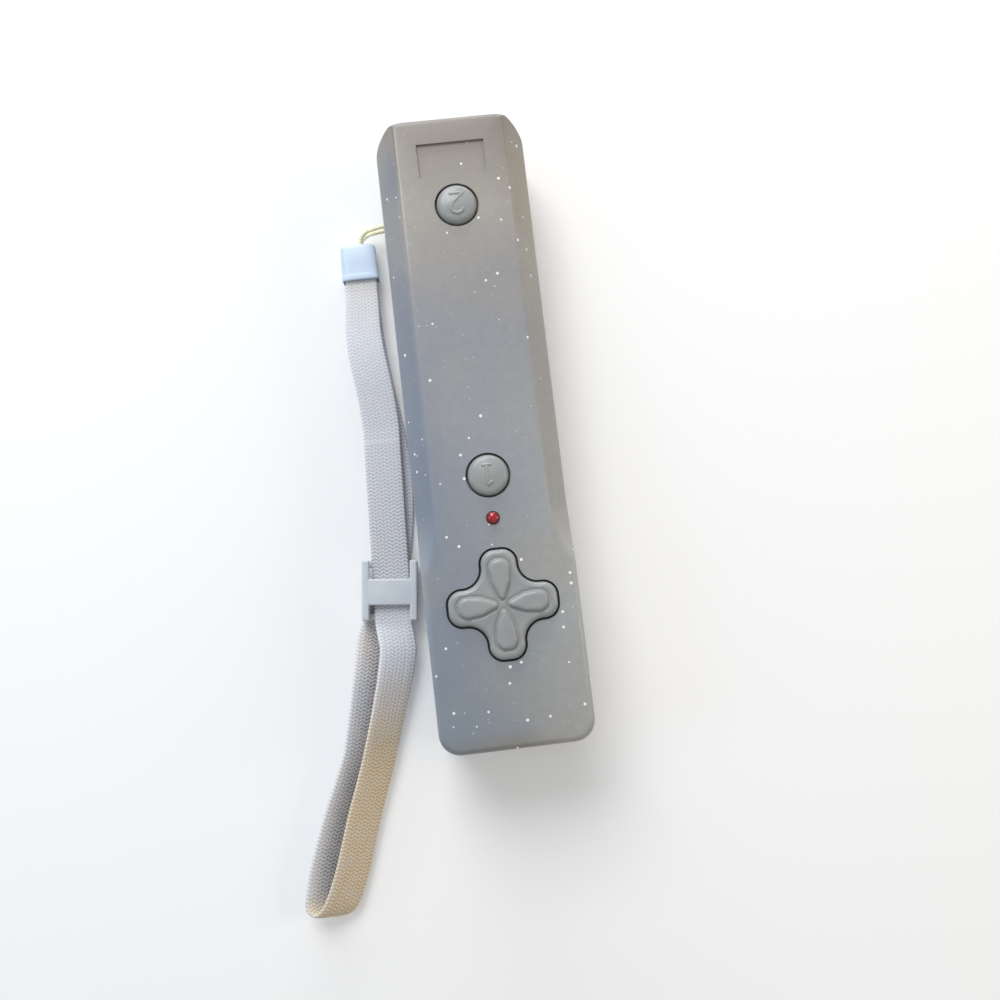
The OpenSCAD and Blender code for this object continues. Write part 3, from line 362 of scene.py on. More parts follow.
def casing_finish():
    """Moulded grey with glitter, with painted shade and reflections along it, and painted light and
    shade on each side.
    """
    f = Finish("casing_grey", 0.34, coat=0.25)
    f.surface.inputs["Coat Roughness"].default_value = 0.2
    f.surface.inputs["Specular IOR Level"].default_value = 0.4
    place = f.add("ShaderNodeSeparateXYZ", {"Vector": f.place}).outputs

    def across(axis, start, end, low=0.0, high=1.0):
        return f.spread(place[axis], start * MM, end * MM, low, high)

    first, last = CASING_GREY_AND_PAINTED_LIGHT[0][0], CASING_GREY_AND_PAINTED_LIGHT[-1][0]
    length = f.add(
        "ShaderNodeMapRange", {"Value": place["Y"], "From Min": first * MM, "From Max": last * MM}
    )
    stops = [((y - first) / (last - first), tone) for y, tone in CASING_GREY_AND_PAINTED_LIGHT]
    colour = f.ramp(length.outputs["Result"], *stops)

    strength = across("Y", *CHAMFER_REFLECTION_CHANGE, *CHAMFER_REFLECTION_STRENGTHS)
    strength = f.math("MULTIPLY", strength, across("Z", *CHAMFER_REFLECTION_Z))
    for gone_at, full_at in CHAMFER_REFLECTION_ENDS:
        strength = f.math("MULTIPLY", strength, across("Y", gone_at, full_at))
    # Painted shade and light on each half toward the front, then the painted reflection on each
    # chamfer
    for side, full_at, most, front_shading, chamfer_reflection in SIDE_SHADING:
        toward_front = across("Y", FRONT_SHADING_Y, full_at, 0, most)
        share = f.math("MULTIPLY", across("X", 0, side * FRONT_SHADING_X), toward_front)
        colour = f.mix(share, colour, srgb(*front_shading))
        toward_edge = across("X", *[side * x for x in CHAMFER_REFLECTION_X])
        share = f.math("MULTIPLY", toward_edge, strength)
        colour = f.mix(share, colour, srgb(*chamfer_reflection))

    # Painted reflections: broad pale warm clouds over the grey
    colour = f.patches(colour, (168, 163, 155), scale=38, most=0.45, low=0.45, detail=1)
    colour = f.patches(colour, (110, 114, 118), scale=700, most=0.1)
    faint = f.math("MULTIPLY", f.specks(cell=2.0, share=0.8, largest=0.12), 0.4)
    colour = f.mix(faint, colour, srgb(236, 236, 232))
    colour = f.mix(f.specks(cell=2.7, share=0.9, largest=0.15), colour, srgb(252, 252, 248))
    f.set("Base Color", colour)
    f.uneven(90, 0.28, 0.4)
    f.bump(1800, 0.02)
    return f.material


# Webbing colours: the warm yarn and gap stand for painted warm reflected light, and the dark ones
# for painted shade
YARN = {"white": (250, 252, 254), "tan": (250, 234, 200), "dark": (112, 112, 124)}
GAP = {"white": (212, 215, 225), "tan": (206, 179, 137), "dark": (70, 68, 80)}
YARN_SHADE = 0.22  # how much of a gap's shade a yarn takes


def webbing_finish():
    """White yarn over grey gaps, warmer where tint is high, as painted warm light, and darker where
    shade is, as painted shade.
    """
    f = Finish("webbing", 0.85)
    weave, tint, shade = (
        f.add("ShaderNodeAttribute", attribute_name=name).outputs["Fac"]
        for name in ("weave", "tint", "shade")
    )
    yarn = f.mix(tint, srgb(*YARN["white"]), srgb(*YARN["tan"]))
    gap = f.mix(tint, srgb(*GAP["white"]), srgb(*GAP["tan"]))
    yarn = f.mix(f.math("MULTIPLY", shade, YARN_SHADE), yarn, srgb(*YARN["dark"]))
    gap = f.mix(shade, gap, srgb(*GAP["dark"]))
    colour = f.mix(weave, gap, yarn)
    colour = f.patches(colour, (222, 214, 216), scale=330, most=0.2, low=0.4, high=0.65)
    colour = f.patches(colour, (206, 203, 212), scale=2600, most=0.1, low=0.35, high=0.65)
    f.set("Base Color", colour)
    f.surface.inputs["Sheen Weight"].default_value = 0.1
    f.bump(5200, 0.03)
    return f.material


def lanyard_finish():
    f = Finish("lanyard", 0.7)
    f.set("Base Color", f.drift(900, (252, 243, 196), (255, 253, 232), low=0.3, high=0.7))
    f.bump(4000, 0.04)
    return f.material


# Painted shade at the LED's foot and painted light toward its top, as colours between two heights
LED_SHADING_Z = (24.8, 26.2)
LED_SHADED_REDS = [(0.0, (44, 3, 6)), (0.55, (136, 10, 20)), (1.0, (206, 40, 48))]


def led_finish():
    """Deep red tinted dome, with painted shade round its foot and painted light toward its top."""
    f = Finish("led", 0.12, coat=0.6)
    z = f.add("ShaderNodeSeparateXYZ", {"Vector": f.place}).outputs["Z"]
    height = f.spread(z, *[end * MM for end in LED_SHADING_Z])
    colour = f.patches(f.ramp(height, *LED_SHADED_REDS), (110, 8, 16), scale=700, most=0.4, low=0.4)
    f.set("Base Color", colour)
    f.surface.inputs["Transmission Weight"].default_value = 0.15
    f.bump(1500, 0.02)
    return f.material


MOTTLED = {  # finish: dark tone, light tone, scale of their drift, roughness, metallic, coat
    "key_grey": ((151, 155, 156), (160, 163, 162), 160, 0.34, 0, 0.18),
    "cap_plastic": ((204, 223, 244), (213, 231, 250), 120, 0.35, 0, 0.1),
    "slider_plastic": ((205, 211, 218), (216, 221, 226), 120, 0.35, 0, 0.2),
    "silicone": ((206, 200, 184), (220, 214, 200), 240, 0.55, 0, 0),
    "carbon": ((12, 12, 13), (24, 24, 25), 900, 0.8, 0, 0),
    "board_green": ((26, 88, 44), (38, 108, 56), 180, 0.35, 0, 0.3),
    "ribbon_grey": ((150, 152, 158), (172, 174, 180), 400, 0.5, 0, 0),
    "chip_black": ((10, 10, 10), (26, 26, 26), 300, 0.35, 0, 0),
    "can_metal": ((196, 194, 188), (216, 214, 208), 300, 0.3, 1, 0),
    "wire_black": ((16, 16, 18), (34, 34, 36), 400, 0.45, 0, 0),
    "wire_red": ((150, 16, 20), (178, 30, 30), 400, 0.45, 0, 0),
    "contact_metal": ((204, 200, 190), (224, 221, 212), 500, 0.25, 1, 0),
    "screw_steel": ((176, 177, 181), (204, 205, 208), 600, 0.3, 1, 0),
    "cell_jacket": ((38, 62, 104), (48, 74, 118), 90, 0.3, 0.3, 0.4),
}
finishes = {name: mottled(name, *look) for name, look in MOTTLED.items()}
finishes["casing_grey"] = casing_finish()
webbing_white = webbing_finish()
lanyard_cream = lanyard_finish()
led_red = led_finish()


# Wrist strap, on the routes of the CAD. For webbing, a row of a route gives a point of its middle
# line, its turn and the tilt of its right edge in degrees, and its share of the full width.

CORD_ROUTE = [
    (-25.2, 49.2, 3.6), (-25.2, 51.3, 3.6), (-25.2, 53.2, 3.6), (-24.7, 54.8, 4.2),
    (-23.3, 55.8, 5.6), (-21.4, 55.8, 7.2), (-19.2, 55.8, 8.3), (-17.2, 55.8, 8.7),
    (-15.2, 55.8, 8.3), (-14.2, 55.9, 6.5), (-15.2, 56, 4.7), (-17.2, 56.1, 4.3),
    (-19.2, 56.1, 4.2), (-21.4, 56.1, 3.4), (-23.3, 56, 2.3), (-24.7, 55, 1.7),
    (-25.2, 53.4, 1.6), (-25.2, 51.3, 1.6), (-25.2, 49.2, 1.6),
]
FRONT_ROUTE = [
    (-26, 46.2, 3.6, 0, 0, 0.87), (-26, 43, 3.6, 0, 0, 0.87), (-26.3, 37, 3.8, -2, 0, 0.93),
    (-26.7, 31, 4.1, -1, 0, 0.98), (-26.5, 25, 4.4, 4, 0, 1), (-25.8, 19, 4.4, 5, 0, 1),
    (-25.2, 13, 4, 4, 0, 1), (-24.84, 6, 3.6, 0, 0, 1), (-24.96, 3, 3.6, -2.3, 0, 1),
    (-25.2, -3, 3.6, -2.3, 0, 1), (-25.6, -13, 3.6, -2.3, 0, 1), (-26, -23, 3.6, -2.3, 0, 1),
    (-26.4, -33, 3.6, -2.3, 0, 1), (-26.52, -36, 3.6, -2.3, 0, 1),
]
BACK_ROUTE = [
    (-26, 46.2, 1.5, 0, 0, 0.87), (-26, 43, 1.5, 0, 0, 0.87), (-26.3, 37, 1.2, -1, 0, 0.93),
    (-26.4, 31, 0.9, 1, 0, 0.98), (-26.1, 25, 0.8, 4, 0, 1), (-25.4, 18, 0.8, 7, 0, 1),
    (-24.4, 10, 0.8, 7, 0, 1), (-23.5, 2, 0.8, 4, 0, 1), (-23.2, -6, 0.8, 0, 0, 1),
    (-23.4, -13, 0.8, -5, 0, 1), (-24.3, -20, 0.8, -9, 0, 1), (-25.5, -26.6, 0.8, -11, 0, 1),
    (-26.6, -32, 0.8, -11, 0, 1), (-27.4, -36, 0.8, -11, 0, 1),
]
LOOP_ROUTE = [
    (-26.52, -36, 3.6, -2.3, 0, 1), (-26.7, -39, 3.6, -2.3, 0, 1), (-26.95, -42, 3.6, -2, 0, 1),
    (-26.9, -44.6, 3.8, -2, 2, 1), (-26.6, -47.6, 4.4, -4, 8, 1), (-26.5, -51, 4.9, -7, 15, 1),
    (-27.9, -57.2, 5.2, -12, 24, 1), (-29.7, -63.2, 5.1, -15, 29, 1),
    (-31.6, -69.2, 4.9, -17, 32, 1), (-34.5, -78, 4.7, -18, 33, 1),
    (-38.9, -89.7, 4.5, -18, 33, 1), (-42.9, -101.5, 4.3, -16, 32, 1),
    (-45.3, -107.3, 4.2, -13, 30, 1), (-47.1, -110.4, 4.1, -10, 28, 1),
    (-49, -111.9, 3.9, -9, 27, 1), (-50.6, -111.2, 3.6, -9, 27, 1),
    (-51.1, -109.2, 3.3, -10, 28, 1), (-50.7, -106.8, 3.2, -13, 30, 1),
    (-49.2, -101, 3.2, -16, 32, 1), (-44.8, -89.2, 3.2, -18, 33, 1),
    (-39.6, -77.5, 3.2, -18, 33, 1), (-37.7, -71.8, 3.2, -17, 31, 1),
    (-34.75, -59.7, 2.9, -15, 26, 1), (-33.3, -53.6, 2.2, -14, 18, 1),
    (-31.9, -47.4, 1.15, -13, 5, 1), (-29.8, -42, 0.8, -12, 0, 1),
    (-28.6, -39, 0.8, -11.5, 0, 1), (-27.4, -36, 0.8, -11, 0, 1),
]
WEBBING_HALF_W = 4.6
WEBBING_HALF_T = 0.6
WEBBING_EDGE_POWER = 6  # how square its edges are
STITCH = 0.9
STITCH_RELIEF = 0.09
WALES = 10
WALE_COLUMNS = 4
GROOVE_DEPTH = 0.07
GROOVE_HALF = 0.25  # in wales
GROOVE_FLATTENS = 0.6  # share of a stitch's relief that is lost in a groove
GROOVE_GAP = 0.4  # how far a groove looks like a gap
ZIGZAG = 0.36
ZIGZAG_FADE = 1.5


def webbing_shape(route):
    """Flat braid along a route: rows of stitches that zigzag across its wales.

    Returns its skin, its middle line, and each point's weave, 0 in a gap and 1 on a yarn."""
    path = evenly(spline(route), STITCH / 2)
    middle, width = path[:, :3], path[:, 5]
    turn, tilt = np.radians(path[:, 3:5].T)
    along = unit(np.gradient(middle, axis=0))
    across = np.stack(
        [np.cos(turn) * np.cos(tilt), np.sin(turn) * np.cos(tilt), -np.sin(tilt)], axis=1
    )
    up = unit(np.cross(along, across))

    columns = WALES * WALE_COLUMNS
    there, back = np.linspace(-1, 1, columns + 1), np.linspace(1, -1, columns + 1)[1:-1]
    a = np.append(there, back)
    side = np.append(np.ones(len(there)), -np.ones(len(back)))
    body = np.sqrt(1 - np.abs(a) ** WEBBING_EDGE_POWER)
    wale = (a + 1) / 2 * WALES
    zigzag = np.abs(wale % 2 - 1) * 2 - 1
    off_groove = np.abs(wale - np.round(wale))
    groove = np.clip(1 - off_groove / GROOVE_HALF, 0, 1) * (np.abs(a) < 1)

    s = arc_lengths(middle)
    fade = np.clip(np.minimum(s, s[-1] - s) / ZIGZAG_FADE, 0, 1)[:, None]
    row = np.where(np.arange(len(path)) % 2 == 0, 1.0, -1.0)[:, None]
    lift = STITCH_RELIEF * row * (1 - GROOVE_FLATTENS * groove) - GROOVE_DEPTH * groove
    height = body * side * (WEBBING_HALF_T - STITCH_RELIEF + lift)
    skin = (
        middle[:, None]
        + across[:, None] * (width[:, None] * a * WEBBING_HALF_W)[:, :, None]
        + up[:, None] * height[:, :, None]
        + along[:, None] * (ZIGZAG * zigzag * body * fade)[:, :, None]
    )
    weave = np.clip(0.5 + 0.5 * row - GROOVE_GAP * groove, 0, 1)
    return skin, middle, weave


def strap_run(name, route, node, look):
    """One run of webbing; look gives its tint and shade from its points."""
    skin, middle, weave = webbing_shape(route)
    obj = piece(name, lofted(skin), webbing_white, stands_for=[node])
    tint, shade = look(skin, middle)
    vertex_values(obj, "weave", weave)
    vertex_values(obj, "tint", tint)
    vertex_values(obj, "shade", shade)


# Tint and shade of the webbing. Pairs are the places where something starts and is full.

CREAM = 0.2
CREAM_Y = (30, 42)
FRONT_SHADE = 0.55
FRONT_SHADE_Y = (36, -34)
# Painted light on a crease across the front run, where its painted shade is left out
CREASE_Y = 2
CREASE_HALF = 0.5
GLEAM_EDGE = (-0.4375, -1.0625)  # the left edge is at -1
UNDER_SHADE = 0.75  # of the lower strand at its middle
UNDER_SLOPE = 0.8
UNDER_LIMITS = (0.05, 0.9)
# Painted warm shadow on the lower strand near the slider, with more painted shade there
UNDER_WARM_SHADOW = 0.4  # of the lower strand near the slider
UNDER_DEEPER = 0.15  # more shade there
BACK_SHADE = 0.2
BACK_MEETS_Y = (-24, -36)  # the back run takes on the look of the lower strand
UPPER_MEETS_Y = (-44, -36)  # the upper strand takes on the look of the front run
LOOP_FOLD = (0.5, 0.54)  # the upper strand turns into the lower, in shares of the loop's length
# Painted warm reflected light on the loop toward its fold, less on the lower strand and on the
# painted gleam
WARM_LIGHT_Y = (-53, -73)
WARM_LIGHT_LOST_BELOW = 0.9  # share of the tan that the lower strand lacks
WARM_LIGHT_LOST_IN_GLEAM = 0.8
NEAR_SLIDER_Y = (-62, -48)
UPPER_SHADE = 0.22
CASING_SHADOW_Y = -67  # where the casing itself shades the upper strand, so no more is added
CASING_SHADOW_HALF = 9


def edge_share(skin, middle):
    """How far each point is toward the left edge (-1) or the right one (1)."""
    return np.clip((skin[:, :, 0] - middle[:, None, 0]) / WEBBING_HALF_W, -1, 1)


def left_gleam(edge):
    """How bright the left edge of a strand is."""
    return share_between(edge, *GLEAM_EDGE) ** 2


def under_shade(edge):
    """Shade of the lower strand, which grows under the upper one."""
    return np.clip(UNDER_SHADE + UNDER_SLOPE * edge, *UNDER_LIMITS)


def front_look(skin, middle):
    """A little warm colour by the cap, painted shade growing toward the slider, and a paler band at
    a crease across, where that painted shade is left out.
    """
    y = skin[:, :, 1]
    crease = np.exp(-(((y - CREASE_Y) / CREASE_HALF) ** 2))
    tint = CREAM * share_between(y, *CREAM_Y)
    return tint, FRONT_SHADE * share_between(y, *FRONT_SHADE_Y) * (1 - crease)


def back_look(skin, middle):
    """Evenly shaded, and with the painted shade and warm shadow of the loop's lower strand where
    they meet.
    """
    edge = edge_share(skin, middle)
    dull = 1 - left_gleam(edge)
    meeting = share_between(skin[:, :, 1], *BACK_MEETS_Y)
    there = np.clip(under_shade(edge) + UNDER_DEEPER, 0, 1) * dull
    return UNDER_WARM_SHADOW * meeting * dull, BACK_SHADE + (there - BACK_SHADE) * meeting


def loop_look(skin, middle):
    """Painted warm light toward the fold on the upper strand, and painted shade on the lower one
    under it.

    Each strand has a painted gleam along its left edge."""
    y = skin[:, :, 1]
    edge = edge_share(skin, middle)
    dull = 1 - left_gleam(edge)
    lower = share_between(np.arange(len(middle)) / len(middle), *LOOP_FOLD)[:, None]
    # Painted warm light toward the fold
    tan = share_between(y, *WARM_LIGHT_Y) * (1 - WARM_LIGHT_LOST_BELOW * lower)
    tan = tan * (1 - WARM_LIGHT_LOST_IN_GLEAM * (1 - dull))
    near_slider = share_between(y, *NEAR_SLIDER_Y) * lower
    shadow = np.exp(-(((y - CASING_SHADOW_Y) / CASING_SHADOW_HALF) ** 2)) * (1 - lower)
    meeting = share_between(y, *UPPER_MEETS_Y) * (1 - lower)
    upper_shade = UPPER_SHADE * (1 - shadow) * dull * (1 - meeting) + FRONT_SHADE * meeting
    lower_shade = np.clip(under_shade(edge) + UNDER_DEEPER * near_slider, 0, 1) * dull
    tint = np.maximum(tan, UNDER_WARM_SHADOW * near_slider * dull)
    return tint, upper_shade * (1 - lower) + lower_shade * lower


strap_run("strap_front", FRONT_ROUTE, "strap_front_run", front_look)
strap_run("strap_back", BACK_ROUTE, "strap_back_run", back_look)
strap_run("strap_loop", LOOP_ROUTE, "wrist_loop", loop_look)

CORD_STEP = 0.14
STRANDS = 3
STRAND_R = 0.28
STRAND_OFF = 0.27
STRAND_LAY = 2.6

cord_line = evenly(spline(CORD_ROUTE), CORD_STEP)
cord_u, cord_v = carried_normals(cord_line)
twist = 2 * np.pi * arc_lengths(cord_line)[:, None] / STRAND_LAY
strand_lines = [
    cord_line + STRAND_OFF * (np.cos(twist + k) * cord_u + np.sin(twist + k) * cord_v)
    for k in 2 * np.pi * np.arange(STRANDS) / STRANDS
]
lanyard = piece(
    "lanyard", joined(*[tube(line, STRAND_R) for line in strand_lines]), lanyard_cream,
    stands_for=["lanyard_cord"],
)


# Strap cap: a rounded box with a lip round its open end

CAP_AT = (-26, 48.6, 2.6)
CAP_HALF_LEN = 4.7
CAP_RINGS = [  # place along the cap from its closed end, half width, half height
    (0.0, 3.2, 1.3), (0.05, 3.7, 1.75), (0.25, 4.15, 2.05), (0.6, 4.4, 2.25), (1.1, 4.52, 2.33),
    (4.5, 4.6, 2.38), (7.6, 4.64, 2.4), (7.9, 4.7, 2.43), (8.2, 4.78, 2.48), (8.9, 4.8, 2.5),
    (9.2, 4.78, 2.48), (9.36, 4.68, 2.4), (9.4, 4.56, 2.3), (9.3, 4.46, 2.2), (8.8, 4.42, 2.14),
    (5.2, 4.4, 2.1),
]


def squarish(half_x, half_z, power=5, sides=64):
    """Superellipse outline."""
    a = np.linspace(0, 2 * np.pi, sides, endpoint=False)
    x, z = (np.sign(v) * np.abs(v) ** (2 / power) for v in (np.cos(a), np.sin(a)))
    return half_x * x, half_z * z


def cap_shape():
    rings = []
    for along, half_x, half_z in CAP_RINGS:
        x, z = squarish(half_x, half_z)
        y = np.full_like(x, CAP_AT[1] + CAP_HALF_LEN - along)
        rings.append(np.stack([CAP_AT[0] + x, y, CAP_AT[2] + z], axis=-1))
    return lofted(np.array(rings))


piece(
    "cap", cap_shape(), finishes["cap_plastic"],
    stands_for=["strap_cap"], smooth_angle=SHARP_ANGLE,
)


# Strap slider: rails with lips over the webbing, a bar across its upper face and two below

SLIDER_AT = (-27, -35.7)
SLIDER_TURN = -6  # degrees
SLIDER_BARS = [  # lowest corner, highest corner, rounding of the edges
    ((5.7, -7.5, 1.7), (6.9, 7.5, 5.6), 0.4), ((-6.9, -7.5, 1.7), (-5.7, 7.5, 5.6), 0.4),
    ((5.0, -7.5, 4.5), (6.9, 7.5, 5.8), 0.5), ((-6.9, -7.5, 4.5), (-5.0, 7.5, 5.8), 0.5),
    ((-6.5, -3.65, 4.5), (6.5, 2.85, 5.78), 0.4),
    ((-6.3, -7.5, 1.7), (6.3, -5.7, 2.7), 0.3), ((-6.3, 5.7, 1.7), (6.3, 7.5, 2.7), 0.3),
]
FIRST_TURN = 0.04  # radians; at 0 the points of a corner would meet


def rounded_box(low, high, r, steps=5):
    """Box with rounded edges: rings of a rounded rectangle that draw in toward its ends."""
    low, high = np.array(low, float), np.array(high, float)
    core = (high - low)[:2] / 2 - r
    corners = [
        (sx, sy, a)
        for sx, sy, start in ((1, 1, 0), (-1, 1, 90), (-1, -1, 180), (1, -1, 270))
        for a in np.radians(np.linspace(start, start + 90, steps + 1))
    ]
    turns = np.linspace(FIRST_TURN, math.pi / 2, steps + 1)
    levels = [(r * math.sin(t), low[2] + r * (1 - math.cos(t))) for t in turns]
    levels += [(r * math.sin(t), high[2] - r * (1 - math.cos(t))) for t in turns[::-1]]
    rings = [
        [
            (core[0] * sx + out * math.cos(a), core[1] * sy + out * math.sin(a), z)
            for sx, sy, a in corners
        ]
        for out, z in levels
    ]
    return lofted(np.array(rings) + np.append((low + high)[:2] / 2, 0))


slider_points, slider_faces = joined(*[rounded_box(*bar) for bar in SLIDER_BARS])
turn_cos, turn_sin = math.cos(math.radians(SLIDER_TURN)), math.sin(math.radians(SLIDER_TURN))
slider_turn = np.array([[turn_cos, turn_sin, 0], [-turn_sin, turn_cos, 0], [0, 0, 1]])
slider_points = slider_points @ slider_turn + (*SLIDER_AT, 0)
piece(
    "slider", (slider_points, slider_faces), finishes["slider_plastic"],
    "strap_slider", ["strap_slider"], smooth_angle=SHARP_ANGLE,
)


# Keys

BUTTON_Y = {"main_button": -12, "rear_button": 53}
BUTTON_R = 4.75
BUTTON_FLANGE = (6.25, 21.7, 22.9)  # radius, lower and upper z
BUTTON_TOP = 26.6
BUTTON_EDGE = 1.5
BUTTON_EDGE_ARC = 84  # degrees
BUTTON_CROWN = 0.45
CROWN_START = 0.3  # how far in from the edge's arc
CROWN_POINTS = 10
NUMERAL_STROKE = 0.42
NUMERAL_STEP = 0.12
NUMERAL_SUNK = 0.4  # share of a stroke's radius that its middle lies under the crown
NUMERAL_TAPER = 0.9
NUMERALS = {
    "main_button": [[(-1.0, 1.4), (0.2, 2.4), (0.2, -2.3)], [(-1.1, -2.3), (1.5, -2.3)]],
    "rear_button": [[
        (-1.5, 1.2), (-1.1, 2.05), (0, 2.5), (1.15, 2.05), (1.5, 1.15), (0.95, 0), (-1.6, -2.3),
        (1.7, -2.3),
    ]],
}


def cap_height(r):
    """Height of a button's crown at a radius."""
    return BUTTON_TOP - BUTTON_CROWN * (r / (BUTTON_R - BUTTON_EDGE)) ** 2


def button_shape(name, y):
    inner = BUTTON_R - BUTTON_EDGE
    flange_r, flange_z0, flange_z1 = BUTTON_FLANGE
    edge_z = cap_height(inner) - BUTTON_EDGE
    profile = [
        (AXIS_R, flange_z0), (flange_r, flange_z0), (flange_r, flange_z1), (BUTTON_R, flange_z1),
    ]
    profile += rounded((inner, edge_z), BUTTON_EDGE, 0, BUTTON_EDGE_ARC)
    crown = np.linspace(inner - CROWN_START, AXIS_R, CROWN_POINTS)
    profile += [(r, cap_height(r)) for r in crown]
    parts = [revolved(profile, (0, y))]
    for stroke in NUMERALS[name]:
        line = evenly(-np.array(stroke, float), NUMERAL_STEP)
        z = cap_height(np.hypot(*line.T)) - NUMERAL_SUNK * NUMERAL_STROKE
        line = np.column_stack([line, z]) + (0, y, 0)
        s = arc_lengths(line)
        end = np.clip(np.minimum(s, s[-1] - s) / NUMERAL_STROKE, 0, 1)
        parts.append(tube(line, NUMERAL_STROKE * np.sqrt(1 - (1 - end) ** 2 * NUMERAL_TAPER)))
    return joined(*parts)


for button, button_y in BUTTON_Y.items():
    piece(
        f"{button}_cap", button_shape(button, button_y), finishes["key_grey"],
        button, [button], smooth_angle=SHARP_ANGLE,
    )

DPAD_Y = -42
DPAD_TIP_R = 3.2
DPAD_TIP_AT = (9.4, 0.9)
DPAD_FILLET_R = 4.8
DPAD_FILLET_AT = 8.9
DPAD_FLANGE = (-1.5, 20.6, 21.5)  # inset, lower and upper z
DPAD_TOP = 26.2
DPAD_EDGE = 1.2
DPAD_STEPS = 24
DPAD_FILL = 84  # rings over the upper face
DPAD_CENTRE = 0.01  # size of the last ring
DPAD_SHARP_ANGLE = 40
SOCKET = (2.6, 22.6, 2.05)  # radius, z of the ball's middle, radius of the ball's seat
SOCKET_ARC = 1.55
SOCKET_POINTS = 8
PAD_DISCS = [(1.95, 0.7), (5.4, 2.05), (8.1, 2.35)]  # place along an arm, radius
PAD_RISE = 0.88
PAD_ROUND = 1.1
PAD_FOOT = 0.28
PAD_GROOVE = (0.22, 0.36)  # depth, half width


def cross_ring(inset):
    """The cross's outline set in by inset, which keeps its arcs' centres."""
    x, y = DPAD_TIP_AT
    arcs = [
        ((x, -y), DPAD_TIP_R - inset, -90, 0), ((x, y), DPAD_TIP_R - inset, 0, 90),
        ((DPAD_FILLET_AT, DPAD_FILLET_AT), DPAD_FILLET_R + inset, 270, 180),
    ]
    x, y = np.vstack([rounded(*arc, DPAD_STEPS) for arc in arcs]).T
    return np.vstack([np.column_stack(p) for p in ((x, y), (-y, x), (-x, -y), (y, -x))])


def taper_distance(x, y, near, far):
    """Distance out of the hull of two discs along x, each (place, radius), negative inside it."""
    (a, a_r), (b, b_r) = near, far
    slope = (b_r - a_r) / (b - a)
    y = np.abs(y)
    share = np.clip((x - a) + y * slope / math.sqrt(1 - slope**2), 0, b - a) / (b - a)
    return np.hypot(x - a - share * (b - a), y) - a_r - share * (b_r - a_r)


def pad_distance(x, y):
    """Distance out of the edge of a teardrop along +x, negative inside it."""
    tapers = zip(PAD_DISCS, PAD_DISCS[1:])
    return np.minimum(*[taper_distance(x, y, near, far) for near, far in tapers])


def dpad_height(x, y):
    """Height of the key's upper face: four soft teardrops, each with a groove round its foot."""
    inside = -np.minimum.reduce([pad_distance(*p) for p in ((x, y), (-x, y), (y, x), (-y, x))])
    t = np.clip((inside + PAD_FOOT) / (PAD_ROUND + PAD_FOOT), 0, 1)
    dome = np.sqrt(1 - (1 - t) ** 2)
    soft = np.clip((inside + PAD_FOOT) / (2 * PAD_FOOT), 0, 1)
    depth, half_width = PAD_GROOVE
    groove = depth * np.exp(-(((inside + PAD_FOOT) / half_width) ** 2))
    return DPAD_TOP + PAD_RISE * dome * (3 * soft**2 - 2 * soft**3) - groove


def dpad_shape():
    """Skin from the socket under the key, out round its flange and edge, to its upper face."""
    inner = cross_ring(DPAD_EDGE)
    turn = unit(inner)
    flange, z0, z1 = DPAD_FLANGE
    socket_r, ball_z, ball_r = SOCKET
    under = [(socket_r, z0), (socket_r, ball_z)]
    under += dome_arc(ball_r, ball_z, ball_r, SOCKET_ARC, SOCKET_POINTS)
    rings = [np.column_stack([turn * r, np.full(len(turn), z)]) for r, z in under[::-1]]

    edge_z = DPAD_TOP - DPAD_EDGE
    levels = [(flange, z0), (flange, z1), (0, z1), (0, edge_z)]
    levels += rounded((DPAD_EDGE, edge_z), DPAD_EDGE, 180, 90)[1:]
    rings += [np.column_stack([cross_ring(i), np.full(len(inner), z)]) for i, z in levels]
    for share in np.linspace(1, DPAD_CENTRE, DPAD_FILL)[1:]:
        x, y = (inner * share).T
        rings.append(np.column_stack([x, y, dpad_height(x, y)]))
    return lofted(np.array(rings) + (0, DPAD_Y, 0))


piece(
    "dpad_key", dpad_shape(), finishes["key_grey"], "dpad", ["dpad"],
    smooth_angle=DPAD_SHARP_ANGLE,
)

LED_Y = -22
LED_R = 1.5
LED_FLANGE = (1.9, 21.8, 22.8)  # radius, lower and upper z
LED_DOME = (24.9, 1.15)  # z of its foot, height
LED_ARC = 1.56
LED_POINTS = 12


def led_shape():
    flange_r, z0, z1 = LED_FLANGE
    profile = [(AXIS_R, z0), (flange_r, z0), (flange_r, z1), (LED_R, z1), (LED_R, LED_DOME[0])]
    profile += dome_arc(LED_R, *LED_DOME, LED_ARC, LED_POINTS)
    return revolved(profile, (0, LED_Y), 64)


piece(
    "led_dome", led_shape(), led_red,
    stands_for=["indicator_led"], smooth_angle=SHARP_ANGLE,
)


# Rubber under the keys, drawn at rest though it flattens as they go down: domes, and collars round
# the D-pad's pills

BOARD_TOP = 18
SHEET_TOP = 19
DOME = [  # (radius, z) from under its roof, round its foot on the board, to its top
    (AXIS_R, 20.05), (2.1, 20.05), (2.7, 20.95), (4.9, 18.65), (4.9, BOARD_TOP), (7, BOARD_TOP),
    (7, 18.8), (6.8, SHEET_TOP), (5.7, SHEET_TOP), (5.55, 19.15), (3.5, 21.4), (3.25, 21.65),
    (AXIS_R, 21.65),
]
COLLAR = [  # (radius, z) from its upper edge, down its inside and back up its outside
    (2.4, 19.7), (2.4, 18.9), (2.8, 18.6), (2.8, BOARD_TOP), (4.1, BOARD_TOP), (4.1, 18.8),
    (3.9, SHEET_TOP), (3.45, SHEET_TOP), (3.3, 19.1), (2.95, 19.62), (2.85, 19.7),
]
COLLAR_RIM = 4.1
COLLAR_RING = 8
SHEET_HALF = 12.5
SHEET_GAP = 0.02
POST_HOLE_R = 1.8
MERGE = 1e-6
IN_HOLE = 0.98  # a face with its middle in this share of a hole's radius is part of the hole


